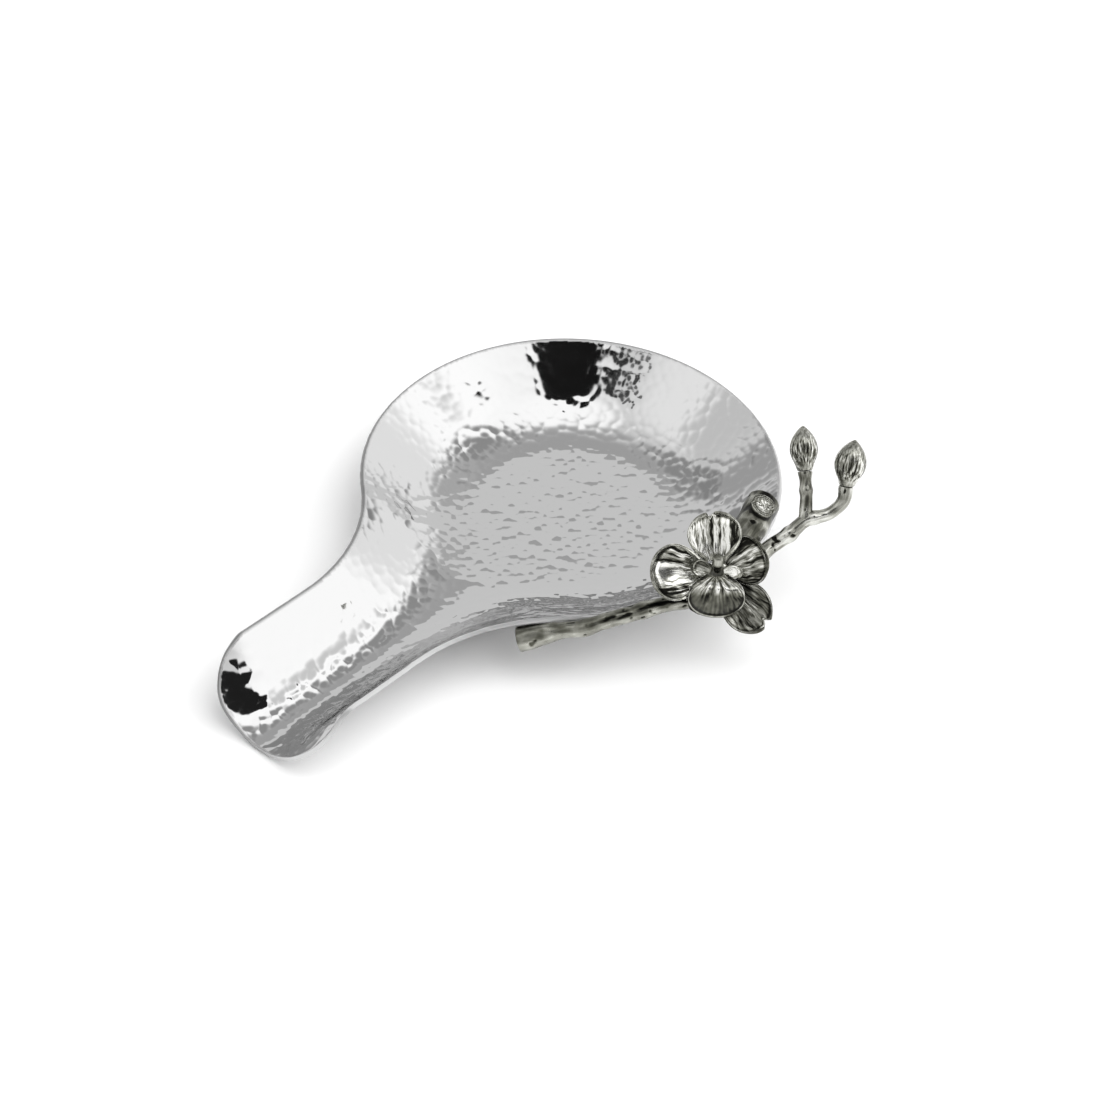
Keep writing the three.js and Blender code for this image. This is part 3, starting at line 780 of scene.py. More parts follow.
    def build(self) -> Object:
        """Cuts the dish from a grid, dishes it, hammers it and gives it its thickness.

        Returns:
            The finished dish.
        """
        length, width = self.handle_reach + self.bowl_radius, 2 * self.bowl_radius
        columns, rows = round(length / self.mesh_step), round(width / self.mesh_step)
        piece, along, across = add_grid("hammered_dish", columns, rows)
        x, y = along * length - self.handle_reach, across * width - self.bowl_radius
        place_points(piece, points_of(x, y, 0.0))
        drop_points(piece, self.from_outline(x, y) < self.rim_trim * self.mesh_step)
        x, y, _ = (read_points(piece) / MM).T
        ends = np.array([corner.vertex_index for corner in piece.data.loops])
        rim = np.bincount(ends, minlength=len(x)) < 4  # faces that meet at a point inside the sheet
        x[rim], y[rim] = self.to_outline(x[rim], y[rim])
        surface = points_of(x, y, self.inside_height(x, y))
        way = np.arctan2(y, x + self.neck_x * (x < 0)) - math.radians(self.shaded_edge_side)
        place_points(piece, surface + self.inside_normal(x, y) * self.unevenness(surface)[:, None])
        # The rim's cut edge is painted grey towards one side, painted shade; elsewhere it has the brushed
        # edge's own wear.
        note(piece, WEAR_AND_SHADE, np.where(rim, self.edge_wear * ramp(np.cos(way), *self.shaded_edge_arc), 1.0))
        close_mesh(piece, np.array((0.0, 0.0, 1.0)), self.rim_weld * MM)
        under = piece.vertex_groups.new(name="underside").name
        finish_with(piece, "SOLIDIFY", thickness=self.sheet * MM, offset=-1.0, use_even_offset=True,
                    shell_vertex_group=under)
        between = (1 + self.edge_wear) / 2
        edge = [i for i, buffed in enumerate(piece.data.attributes[WEAR_AND_SHADE].data) if buffed.value < between]
        piece.vertex_groups[under].remove(edge)
        finish_with(piece, "DECIMATE", ratio=(1 + self.underside_share) / 2, vertex_group=under)
        finish_with(piece, "BEVEL", width=self.edge_round * MM, segments=3, limit_method="ANGLE",
                    angle_limit=math.radians(self.edge_angle))
        return piece


# ---------------------------------------------------------------- spray


@dataclass
class Spray:
    """The twig brazed along the rim, the shoot inside it, and the stem with two buds at its end."""

    dish: Dish
    braze_gap: float = 0.3
    twig_radius: float = 2.6
    stub_radius: float = 4.0
    stub_droop: float = 2.6
    stub_flare: float = 0.22
    branch_start: float = -151.4
    branch_climb: float = -131.0
    branch_end: float = -88.0
    beside_rim: float = 22.0
    on_rim: float = 46.0
    climb_route: tuple = ((0, 1), (0.48, 0.7), (0.75, 0.125))  # share climbed, and of the dip under the rim
    rim_route: tuple = ((0, 0), (0.23, 1), (0.44, 1), (0.62, 0), (0.82, 0), (1, 0))  # share, and 1 if on top
    knot_swell: float = 0.14
    bare_share: float = 0.94  # of the twig's radius, under its bark
    stem_radius: float = 2.1
    bud_stem_radius: float = 1.8
    collar_swell: float = 1.25
    collar_share: float = 0.2
    fork: tuple[float, float, float] = (-71.8, 12.0, 9.0)
    stem_route: tuple = ((-79.5, 4.9, 2.6), (-75.3, 9.0, 6.0))
    right_route: tuple = ((-68.6, 18.4, 10.6), (-66.2, 21.4, 13.6), (-64.6, 21.4, 17.4))
    left_route: tuple = ((-68.6, 10.6, 13.4), (-64.3, 8.2, 19.6))
    branch_knots: tuple = ((0.27, 0.05), (0.5, 0.05), (0.66, 0.05))
    spray_knots: tuple = ((0.42, 0.06), (0.64, 0.05))
    left_knots: tuple = ((0.62, 0.12),)
    branch_bark: float = 0.16
    spray_bark: float = 0.11
    left_bark: float = 0.1
    inner_bark: float = 0.2
    ridge_size: float = 1.15
    ridge_draw: float = 0.26  # how far ridges are drawn out along a twig: their width beside their length
    lump_size: float = 4.5
    pit_size: float = 1.5
    pit_draw: float = 0.6
    pit_start: Span = (0.47, 0.14)  # value of the noise over which a pit sets in
    bark_mix: tuple[float, float, float] = (0.62, 1.1, 2.2)  # heights of ridges, lumps and pits, of the depth
    ridge_rub: float = 0.26  # how much brighter a ridge as high as the bark's depth is
    branch_rub: float = 0.16  # the same on the branch
    branch_tone: float = 0.37
    floor_reflection: float = 0.13  # how much brighter its lower half is: painted reflection of the pale floor
    light_from: Span = (36.0, -24.0)  # degrees up the outer side over which that sets in
    # painted reflection: how dark the black line along the twig's middle is
    dark_reflection: float = 0.7
    streak: Pair = (50.0, 21.0)  # its painted black reflection line: degrees up the outer side, and width
    streak_start: Span = (0.28, 0.12)  # share along it over which it sets in
    spray_tone: float = 0.57
    left_tone: float = 0.42
    inner_tone: float = 0.3
    inner_neck: float = 3.0
    inner_radius: float = 5.2
    inner_swell: float = 0.55
    inner_route: tuple = ((-97, 60, 0), (-91, 98, 0.3), (-84, 124, 0.8), (-76, 132, 1), (-65.2, 132, 1))
    scar_angle: float = -71.1
    scar_bearing: float = 66.0
    scar_radius: float = 4.1
    scar_rise: float = 0.4
    scar_oval: float = 0.12  # how much nearer one of its sides is
    scar_ring: float = 0.17  # share of its radius from one growth ring to the next
    scar_ring_height: float = 0.16
    scar_heart: float = 0.5  # share of its radius that has no rings
    left_bud: Pair = (14.0, 4.3)  # length and radius
    right_bud: Pair = (14.6, 4.9)
    bud_mesh: tuple[int, int] = (90, 108)
    bud_seat: float = 2.2
    bud_foot: float = 0.05  # share of the mesh that closes the bud's foot
    bud_widest: float = 0.47
    bud_rise: float = 1.25
    bud_belly: float = 0.8
    bud_ribs: int = 22
    bud_groove: float = 0.3
    bud_grooved: Span = (0.06, 0.2)  # share along it over which the grooves set in
    bud_smooth: Span = (0.5, 0.3)  # the same where they fade
    bud_scales: int = 3
    bud_fold: float = 0.3
    bud_tongue: float = 0.1
    bud_tone: float = 0.5
    branch: Path = field(init=False)
    stem: Path = field(init=False)
    left_stem: Path = field(init=False)
    inner: Path = field(init=False)

    def __post_init__(self) -> None:
        """Lays out the four curves."""
        under = math.degrees(self.dish.wall_angle) - 90
        start, climb, end = self.branch_start, self.branch_climb, self.branch_end
        beside, up = self.beside_rim, self.on_rim - self.beside_rim
        route = [(start + (climb - start) * share, under * part) for share, part in self.climb_route]
        route += [(climb + (end - climb) * share, beside + up * part) for share, part in self.rim_route]
        radii = [self.stub_radius + self.stub_droop] + [self.twig_radius] * (len(route) - 1)
        off = self.dish.sheet + self.braze_gap
        self.branch = Path(
            [self._off_rim(angle, off + radius, bearing) for (angle, bearing), radius in zip(route, radii)]
        )
        tip, ahead = self.branch.at(1)[0], self.branch.heading(1)[0]
        routed = [self.dish.from_rim(*point) for point in (*self.stem_route, self.fork, *self.right_route)]
        self.stem = Path([tip + ahead * self.braze_gap, tip + ahead * self.twig_radius, *routed])
        self.left_stem = Path([self.dish.from_rim(*point) for point in (self.fork, *self.left_route)])
        off, swell = self.braze_gap + self.inner_neck, self.inner_radius - self.inner_neck
        self.inner = Path(
            [self._off_rim(angle, off + swell * grown, bearing) for angle, bearing, grown in self.inner_route]
        )

    def _off_rim(self, angle: float, reach: float, bearing: float) -> Points:
        """A point at an angle round the bowl, at a reach and a bearing from the rim's edge there."""
        turn = math.radians(bearing)
        return self.dish.from_rim(angle, reach * math.cos(turn), reach * math.sin(turn))

    def _knotted(self, share: Points, knots: tuple) -> Points:
        """The share by which a bar's radius grows at its knots."""
        swells = [ramp(1 - np.abs(share - place) / half) for place, half in knots]
        return 1 + self.knot_swell * np.max(swells, axis=0)

    def branch_girth(self, share: Points) -> Points:
        """The twig's radius along it: wide at the cut stub."""
        flare, bare = 1 - ramp(share, 0, self.stub_flare), self.twig_radius * self.bare_share
        return (bare + (self.stub_radius - bare) * flare) * self._knotted(share, self.branch_knots)

    def inner_girth(self, share: Points) -> Points:
        """The inner twig's radius along it."""
        return self.inner_neck + (self.inner_radius - self.inner_neck) * ramp(share, 0, self.inner_swell)

    def stem_girth(self, first: float, knots: tuple) -> Girth:
        """A stem's radius along it, from its first radius to its collar.

        Args:
            first: Radius where it starts.
            knots: Place and half length of each knot.

        Returns:
            A function of the share along the stem.
        """

        def girth(share: Points) -> Points:
            """Radius at a share of the stem."""
            collar = 1 + (self.collar_swell - 1) * ramp(share - 1 + self.collar_share, 0, self.collar_share)
            return (first + (self.bud_stem_radius - first) * share) * collar * self._knotted(share, knots)

        return girth

    def bark(self, path: Path, depth: float, shift: float) -> Field:
        """Relief of a cast twig: long ridges that wander, lumps and a few pits.

        Args:
            path: The twig's curve.
            depth: Height of the ridges.
            shift: Offset of its noise.

        Returns:
            A function of the share along and the turn round the twig.
        """

        def relief(share: Points, turn: Points) -> Points:
            """Height of the bark at a share and a turn.

            Args:
                share: Shares along the twig.
                turn: Turns round it.

            Returns:
                Heights.
            """
            run = share * path.length
            creases = mottle(round_post(turn, 2.4, run * self.ridge_draw), self.ridge_size, shift)
            ridges = 1 - 2 * np.abs(creases)
            lumps = mottle(round_post(turn, 2, run), self.lump_size, shift + 5)
            spots = mottle(round_post(turn, 2.2, run * self.pit_draw), self.pit_size, shift + 11)
            pits = ramp(spots, *self.pit_start)
            ridge, lump, pit = self.bark_mix
            return depth * (ridge * (ridges - 0.55) + lump * lumps - pit * pits)

        return relief

    def main_branch(self) -> Bar:
        """The twig along the rim: nearly bare, brighter below and with a black line along its middle, both
        painted reflections, of the floor and of the dark room towards the camera.

        Returns:
            The bar to build.
        """
        path, depth = self.branch, self.branch_bark
        bark = self.bark(path, depth, path.length)
        middle, width = self.streak

        def wear(share: Points, turn: Points) -> Points:
            """Wear at a share and a turn, with the painted reflections.

            Args:
                share: Shares along the twig.
                turn: Turns round it.

            Returns:
                Wear of the finish.
            """
            over = (180 - np.degrees(turn)) % 360 - 180  # degrees up from the outer side
            spots = points_of(over / 22, share * path.length * 0.3, 0.0)
            ragged = np.clip(0.7 + 2.2 * mottle(spots, 1.0, 31.0), 0, 1.2)
            # Painted reflections: a black line along the middle, mirroring the dark room towards the camera,
            # and a brighter lower half, mirroring the floor.
            black = bump(over - middle, width) * ramp(share, *self.streak_start) * ragged
            tone = self.branch_tone + self.floor_reflection * ramp(over, *self.light_from)
            return tone + self.branch_rub * bark(share, turn) / depth - self.dark_reflection * black

        return Bar("cast_branch", path, self.branch_girth, bark, wear, rings=330, lined=0.06)

    def twig(self, name: str, path: Path, girth: Girth, depth: float, rings: int, tone: float) -> Bar:
        """A bar with bark, rubbed on its ridges and dark between them.

        Args:
            name: Name of the piece.
            path: Its curve.
            girth: Its radius, from the share along it.
            depth: Height of its ridges.
            rings: Rows of its mesh along the curve.
            tone: The middle wear of its finish.

        Returns:
            The bar to build.
        """
        bark = self.bark(path, depth, path.length)

        def wear(share: Points, turn: Points) -> Points:
            """Wear at a share and a turn: more on the ridges."""
            return tone + self.ridge_rub * bark(share, turn) / depth

        return Bar(name, path, girth, bark, wear, rings)

    def inner_twig(self) -> Bar:
        """The thick shoot inside the rim, with the ringed stump of a side shoot near its blunt end.

        Returns:
            The bar to build.
        """
        shares = np.linspace(0, 1, 801)
        spots = self.inner.at(shares)
        place = np.abs(np.arctan2(spots[:, 1], spots[:, 0]) - math.radians(self.scar_angle)).argmin()
        side, other = (way[place] for way in self.inner.sides(shares))
        away = toward(self.scar_angle, self.scar_bearing)
        facing = math.atan2(away @ other, away @ side)
        top = self.inner_radius + self.scar_rise
        bark = self.bark(self.inner, self.inner_bark, 25.0)

        def from_scar(share: Points, turn: Points) -> tuple[Points, Points, Points, Points]:
            """Distance from the stump's middle in its radii, height of its face, rings and grain.

            Args:
                share: Shares along the shoot.
                turn: Turns round it.

            Returns:
                Distances, heights above the shoot, rings of -1 to 1, and places for the heart's noise.
            """
            turned = np.clip((turn - facing + math.pi) % TURN - math.pi, -1.2, 1.2)
            beside = np.tan(turned) * top
            run = (share - shares[place]) * self.inner.length
            apart = np.hypot(beside * (1 + self.scar_oval * np.sign(beside)), run) / self.scar_radius
            rings = np.cos(TURN * (apart - 0.98) / self.scar_ring)
            grain = points_of(share * 40, turn * 4, apart)
            return apart, top / np.cos(turned) - self.inner_radius, rings, grain

        def relief(share: Points, turn: Points) -> Points:
            """Bark, and the stump's flat face with its growth rings.

            Args:
                share: Shares along the shoot.
                turn: Turns round it.

            Returns:
                Heights.
            """
            apart, face, rings, grain = from_scar(share, turn)
            stump = 1 - ramp(apart, 0.97, 0.14)
            rings = self.scar_ring_height * rings * ramp(apart, self.scar_heart, 0.12)
            heart = 0.12 * mottle(grain, 0.55, 4.0) - 0.25 * (1 - ramp(apart, 0, 0.6))
            return bark(share, turn) * (1 - stump) + (face + rings + heart) * stump

        def wear(share: Points, turn: Points) -> Points:
            """Bright heart, alternate dark and light rings, and a painted shadow in a ring round the stump's
            foot.

            Args:
                share: Shares along the shoot.
                turn: Turns round it.

            Returns:
                Wear of the finish.
            """
            apart, _, rings, grain = from_scar(share, turn)
            stump = 1 - ramp(apart, 1.0, 0.1)
            rings = 0.42 + 0.3 * rings
            heart = 1.0 - 0.9 * ramp(mottle(grain, 0.4, 9.0), 0.1, 0.2)
            inside = rings + (heart - rings) * (1 - ramp(apart, self.scar_heart + 0.02, 0.1))
            outside = self.inner_tone + 0.3 * bark(share, turn) / self.inner_bark
            # painted shadow round the foot of the stump
            outside = outside - 0.5 * bump(apart - 1.2, 0.16)
            return outside + (inside - outside) * stump

        girth = self.inner_girth
        return Bar("cast_inner_twig", self.inner, girth, relief, wear, rings=260, around=110, cap=0.16)

    def bud(self, name: str, stem: Path, size: Pair, shift: float) -> Object:
        """A closed bud that stands on the end of a stem, in line with it.

        Args:
            name: Name of the piece.
            stem: The stem's curve.
            size: The bud's length and radius.
            shift: Offset of its noise.

        Returns:
            The finished bud.
        """
        length, radius = size
        ahead = stem.heading(1)[0]
        foot = stem.at(1)[0] + ahead * self.braze_gap
        side = unit(np.cross(ahead, (0.3, 0.8, 0.2)))
        other = np.cross(ahead, side)
        piece, along, turn = add_grid(name, *self.bud_mesh)
        share = np.clip(along * (1 + self.bud_foot) - self.bud_foot, 0, 1)
        angle = TURN * turn
        rounded = np.where(share < self.bud_widest, self.bud_rise, self.bud_belly)
        seat = self.bud_seat * (1 - share)
        girth = seat + (radius - seat) * np.sin(math.pi * share**0.92).clip(0) ** rounded
        ring = round_post(angle, 1, share * 1.6)
        wander = angle + 0.3 * mottle(ring, 0.9, shift)
        uneven = 0.55 + 0.9 * mottle(ring * (3, 3, 1), 1.0, shift + 4)
        grooves = -((1 - np.abs(np.cos(self.bud_ribs * wander / 2))) ** 3) * np.clip(uneven, 0, 1)
        fade = ramp(share, *self.bud_grooved) * (1 - 0.85 * ramp(share, *self.bud_smooth))
        scale = (self.bud_scales * wander / TURN + 0.35 * share) % 1.0
        fold = scale**3 * ramp(share, 0, 0.1) * (1 - share) ** 0.6
        tongues = bump(share - 0.06 - 0.025 * np.cos(5 * angle + shift), 0.035) * self.bud_tongue
        relief = self.bud_groove * grooves * fade + self.bud_fold * fold + tongues
        spread = (girth + relief * np.minimum(1, girth / 1.6)) * np.clip(along / 0.048, 0, 1)
        spread = np.where(along > 0.9999, 0, spread)
        across = side * np.cos(angle)[:, None] + other * np.sin(angle)[:, None]
        place_points(piece, foot + ahead * (share * length)[:, None] + across * spread[:, None])
        note(piece, WEAR_AND_SHADE, np.clip(self.bud_tone + 0.8 * grooves * fade + 0.4 * fold, 0, 1))
        note(piece, GRAIN, round_post(angle, spread, share * length * 0.12))
        note(piece, LINED, 0.25 + 0.65 * fade)
        close_mesh(piece)
        return piece

    def build(self, nickel: Material) -> None:
        """Builds the twigs, both stems and both buds and hangs them on the frame.

        Args:
            nickel: The casting's finish.
        """
        stem_girth = self.stem_girth(self.twig_radius, self.spray_knots)
        left_girth = self.stem_girth(self.stem_radius, self.left_knots)
        stem = self.twig("cast_spray_stem", self.stem, stem_girth, self.spray_bark, 200, self.spray_tone)
        left = self.twig("cast_left_stem", self.left_stem, left_girth, self.left_bark, 110, self.left_tone)
        bars = {
            "main_branch": self.main_branch(),
            "spray_stem": stem,
            "left_bud_stem": left,
            "inner_twig": self.inner_twig(),
        }
        for node, bar in bars.items():
            settle(bar.build(), node, nickel)
        buds = {
            "left_bud": (self.left_stem, self.left_bud, 2.2),
            "right_bud": (self.stem, self.right_bud, 6.6),
        }
        for node, bud in buds.items():
            settle(self.bud(f"cast_{node}", *bud), node, nickel)


# ---------------------------------------------------------------- blossom


@dataclass(frozen=True)
class Blade:
    """A petal-shaped cast sheet of the blossom, named for its node."""

    node: str
    turn: float  # its direction in the flower's face, in degrees
    length: float
    width: float
    claw: float
    root: float  # where it starts, from the hub's axis
    height: Field  # above the hub's face, from the shares along and across
    thickness: float = 0.7
    parallel: float = 0.4  # how far its lines run side by side instead of fanning out
    claw_dark: float = 0.35
    veins: float = 9.0
    vein_height: float = 0.04
    vein_end: float = 0.86  # share of the way to the edge where the veins die away
    flutes: tuple[tuple[float, float, float], ...] = ()  # dark grooves: place in the fan, width and depth
    tone: float = 0.6  # middle wear of its finish; the low values of the two lateral sepals are painted shade
    tip_tone: float | None = None  # the same towards its tip, where that differs
    vein_wear: float = 0.16
    lining: float = 0.3  # how strongly broad streaks mark it
    lined: float = 1.0  # how strongly fine lines do
    bare: float = 0.0  # share of those lines that is missing towards its tip
    rim: float = 1.0  # how bright the line inside its edge is
    bead: float = 0.18
    roll: float = 0.0
    ruffle: float = 0.22
    notch: tuple[float, float, float] = (0.0, 0.0, 1.0)  # depth, place across and width
    shift: float = 1.0


@dataclass
class Blossom:
    """The open orchid: stalk and hub, five tepals, lip, two ears and column."""

    spray: Spray
    angle: float = -100.4
    facing: float = -140.0
    tilt: float = 47.0
    stalk_rise: float = 4.6
    stalk_radius: float = 2.2
    stalk_bark: float = 0.2
    stalk_tone: float = 0.3
    stalk_rub: float = 0.25
    hub_light: float = 0.6  # how much brighter the hub's face is
    hub_face: Span = (0.94, 0.05)  # share along over which that sets in
    hub_length: float = 6.5
    hub_radius: float = 3.4
    tepal_sheet: float = 1.0
    tepal_layer: float = 2.1
    claw_width: float = 4.4
    widest: float = 0.58
    lip_sheet: float = 1.2
    lip_arch: float = 5.8
    lip_droop: float = 3.6
    lip_curl: float = -2.2
    lip_crest: float = 0.9
    lobe_rise: float = 2.2
    lobe_curl: float = 0.5
    column_radius: float = 1.6
    column_length: float = 4.6
    column_offset: float = 1.0
    column_groove: float = 0.16
    column_tone: float = 0.95
    column_lean: Pair = (1.2, 3.0)  # towards the dorsal sepal, half way up and at its end
    columns: int = 130
    rows: int = 36
    row_crowding: float = 1.35  # how much closer the mesh's rows lie towards the edge
    fine_streaks: Pair = (24.0, 2.2)  # how many there are across the fan and along it
    broad_streaks: Pair = (5.0, 1.3)
    chips: Pair = (22.0, 6.0)
    edge_bead: Pair = (0.2, 0.3)  # distance in from the edge, and width
    edge_groove: Pair = (0.85, 0.4)
    edge_light: Pair = (0.36, 0.17)
    edge_tone: float = 0.9  # wear of the bright line
    groove_dark: float = 0.35
    flute_depth: float = 0.2
    fine_height: float = 0.06
    sway_size: float = 3.2  # of the patches in which the veins wander
    sway_drift: float = 0.05
    lump_size: float = 5.0
    lump_height: float = 0.3
    patch_size: float = 3.6  # of the patches in which the fine lines show
    ruffles: float = 21.0  # radians of its ruffled edge, from one corner to the other
    ruffle_reach: float = 3.0
    roll_reach: float = 2.4
    grain_width: float = 14.0
    grain_press: float = 0.24
    front: Points = field(init=False)
    right: Points = field(init=False)
    up: Points = field(init=False)
    foot: Points = field(init=False)
    bend: Points = field(init=False)
    hub: Points = field(init=False)

    def __post_init__(self) -> None:
        """Sets the flower's own directions and its place on the twig."""
        self.front = toward(self.facing, self.tilt)
        side = math.radians(self.facing)
        self.right = np.array((-math.sin(side), math.cos(side), 0.0))
        self.up = np.cross(self.front, self.right)
        spots = self.spray.branch.at(np.linspace(0, 1, 2001))
        miss = np.abs(np.arctan2(spots[:, 1], spots[:, 0]) - math.radians(self.angle))
        self.foot = spots[miss.argmin()]
        self.bend = self.foot + np.array((0, 0, self.spray.twig_radius + self.stalk_rise))
        self.hub = self.bend + self.front * self.hub_length

    def on_flower(self, right: Points | float, up: Points | float, front: Points | float) -> Points:
        """Points given right and up in the flower's face and forwards from the hub's face."""
        return self.hub + points_of(right, up, front) @ np.stack([self.right, self.up, self.front])

    def half_width(self, share: Points, width: float, claw: float) -> Points:
        """Half of a blade's width: a narrow claw, then a round blade.

        Args:
            share: Shares of its length.
            width: Its greatest width.
            claw: Its width where it starts.

        Returns:
            Half widths.
        """
        end = np.sqrt(np.clip(1 - (np.maximum(share - self.widest, 0) / (1 - self.widest)) ** 2, 0, 1))
        start = claw / 2 + (width - claw) / 2 * np.sin(math.pi / 2 * np.minimum(share / self.widest, 1))
        return np.where(share > self.widest, width / 2 * end, start)

    def tepal_height(self, layer: int, cup: float, curl: float) -> Field:
        """Height of a tepal so many layers back, its tip and edges brought forwards by cup and curl."""
        level = -layer * self.tepal_layer - self.tepal_sheet / 2
        return lambda share, across: level + cup * share**2 + curl * across**2 * ramp(share, 0, self.widest)

    def lip_height(self, share: Points, across: Points) -> Points:
        """The lip's height above the hub's face: it arches forwards and then droops.

        Args:
            share: Shares of its length.
            across: Shares of its half width.

        Returns:
            Heights.
        """
        arch = self.lip_arch * np.sin(math.pi * np.minimum(1, share / self.lip_crest)) * (1 - share / 2)
        edge = self.lip_curl * across**2 * ramp(share, 0, self.widest)
        return self.spray.braze_gap + self.lip_sheet + arch - self.lip_droop * share**2 + edge

    def lobe_height(self, share: Points, across: Points) -> Points:
        """An ear's height above the hub's face."""
        rise = self.lobe_rise + self.lobe_curl * across**2
        return self.spray.braze_gap + self.tepal_sheet + rise * share

    def blades(self) -> list[Blade]:
        """The tepals, the lip and the ears.

        Returns:
            One blade for each node.
        """
        gap, high = self.spray.braze_gap, self.tepal_height
        tepal = dict(claw=self.claw_width, root=self.hub_radius + gap)
        lip_root = self.column_radius - self.column_offset + gap
        ear = dict(claw=2.0, root=self.column_radius + gap, height=self.lobe_height, veins=2.0, bead=0.06,
                   ruffle=0.1, rim=0.3, lined=0.4, claw_dark=0.1)
        dorsal_flutes = ((-0.09, 0.06, 1.2), (0.2, 0.03, 1.0), (0.7, 0.13, 1.4), (-0.36, 0.03, 0.5),
                         (-0.24, 0.02, 0.4))
        left_flutes = ((0.3, 0.05, 0.8), (0.46, 0.04, 0.9), (0.62, 0.06, 0.9), (-0.5, 0.12, 0.9))
        right_flutes = ((-0.55, 0.16, 0.7), (0.6, 0.14, 0.6), (0.05, 0.04, 0.4))
        # The two lateral sepals, tucked under the others, get low tones: painted shade.
        return [
            Blade("dorsal_sepal", 96, 14.0, 16.0, **tepal, height=high(0, 3.2, 1.6), veins=8.0,
                  parallel=0.8, notch=(0.09, 0.12, 0.06), tone=0.86, lining=0.35, claw_dark=0.1,
                  shift=1.3, flutes=dorsal_flutes),
            Blade("left_petal", 182, 16.0, 16.4, **tepal, height=high(0, 3.0, 1.9), veins=8.0, roll=0.9,
                  tone=0.8, lining=0.4, rim=1.1, shift=4.9, flutes=left_flutes),
            Blade("right_petal", 24, 11.8, 15.0, **tepal, height=high(1, 2.4, 1.3), tone=0.5, lining=0.4,
                  lined=0.7, shift=7.7, flutes=right_flutes),
            Blade("left_lateral_sepal", 243, 9.2, 10.4, **tepal, height=high(1, -3.6, 0.8), veins=7.0,
                  tone=0.3, shift=9.1),
            Blade("right_lateral_sepal", 314, 18.0, 14.6, **tepal, height=high(2, -1.2, 1.2), tone=0.46,
                  notch=(0.1, 0.2, 0.09), lined=0.6, shift=11.5,
                  flutes=((-0.45, 0.2, 0.4), (0.25, 0.06, 0.3))),
            Blade("lip", 270, 12.6, 17.2, 3.0, lip_root, self.lip_height, thickness=self.lip_sheet,
                  veins=6.5, vein_height=0.2, vein_end=0.55, vein_wear=0.5, tone=0.68, parallel=0.1,
                  claw_dark=0.0, tip_tone=0.24, lining=0.15, lined=0.7, bare=0.7, rim=0.7, shift=14.2),
            Blade("left_lobe", 168, 5.8, 5.0, **ear, tone=0.42, flutes=((-0.5, 0.3, -0.6),), shift=17.0),
            Blade("right_lobe", 2, 5.0, 4.0, **ear, tone=0.9, shift=19.0),
        ]

    def outline(self, blade: Blade) -> Points:
        """A blade's edge, from one corner of its claw round the tip to the other.

        Args:
            blade: The blade.

        Returns:
            Evenly spaced points, along and across it, one row for each column of its mesh.
        """
        share = np.sin(np.linspace(0, math.pi / 2, 400))
        half = self.half_width(share, blade.width, blade.claw)
        depth, place, wide = blade.notch
        edge = np.concatenate([points_of(share, half), points_of(share, -half)[-2::-1]])
        cut = 1 - depth * bump(edge[:, 1] / blade.width * 2 - place, wide) * (edge[:, 0] > 0.7)
        edge = points_of(edge[:, 0] * cut * blade.length, edge[:, 1])
        gone = np.concatenate([[0], np.cumsum(np.linalg.norm(np.diff(edge, axis=0), axis=1))])
        even = np.linspace(0, gone[-1], self.columns + 1)
        return points_of(*(np.interp(even, gone, axis) for axis in edge.T))

    def build_blade(self, blade: Blade) -> Object:
        """Fans a grid out from a blade's claw to its edge, moulds it and gives it its thickness.

        Args:
            blade: The blade.

        Returns:
            The finished blade.
        """
        piece, fan, out = add_grid(f"blossom_{blade.node}", self.columns, self.rows)
        edge = self.outline(blade)[np.round(fan * self.columns).astype(int)]
        claw = points_of(0.0, (0.5 - fan) * blade.claw)
        reach = np.linalg.norm(edge - claw, axis=1)
        part = 1 - (1 - out) ** self.row_crowding  # share of the way from the claw to the edge
        along, aside = (claw + (edge - claw) * part[:, None]).T
        to_edge, grown = (1 - part) * reach, ramp(part, 0, 0.4)
        share = np.clip(along / blade.length, 0, 1)
        half = np.maximum(self.half_width(share, blade.width, blade.claw), 0.05)
        across = np.clip(aside / half, -1, 1)
        rooted = points_of(along, aside, blade.shift * 3)
        sway = (1 - blade.parallel) * (fan - 0.5) * 2 - blade.parallel * aside / blade.width * 2
        sway = sway + self.sway_drift * mottle(rooted, self.sway_size, blade.shift)
        fine, broad, chips = (
            mottle(points_of(sway * wide, part * long, sway), 1.0, blade.shift + shift)
            for (wide, long), shift in ((self.fine_streaks, 0), (self.broad_streaks, 2), (self.chips, 9))
        )
        veins = np.cos(math.pi * blade.veins * sway) * (0.75 + 0.5 * broad)
        grow = ramp(part, 0, 0.22) * ramp(part, blade.vein_end, -0.25) * ramp(to_edge, 0, 1.2)
        grooves = (deep * bump(sway - place, wide) for place, wide, deep in blade.flutes)
        flutes = sum(grooves, np.zeros_like(sway))
        ragged = ramp(to_edge, 0, 0.9) * ramp(part, 0.25, 0.25) * np.clip(0.95 + 1.6 * chips, 0.1, 1.3)
        (bead, bead_wide), (groove, groove_wide) = self.edge_bead, self.edge_groove
        light, light_wide = self.edge_light
        beaded = bump(to_edge - bead, bead_wide) - 0.5 * bump(to_edge - groove, groove_wide)
        relief = blade.vein_height * veins * grow + self.fine_height * fine * grow
        relief = relief - self.flute_depth * flutes * ragged
        relief = relief + blade.bead * beaded * grown
        lumps = mottle(rooted, self.lump_size, blade.shift + 3) * ramp(part, 0, 0.3)
        wave = np.sin(fan * self.ruffles + blade.shift) * ramp(1 - to_edge / self.ruffle_reach) * blade.ruffle
        high = blade.height(share, across) + relief + self.lump_height * lumps + wave * grown
        high = high + blade.roll * ramp(1 - to_edge / self.roll_reach) ** 2 * grown
        tip = blade.tone if blade.tip_tone is None else blade.tip_tone
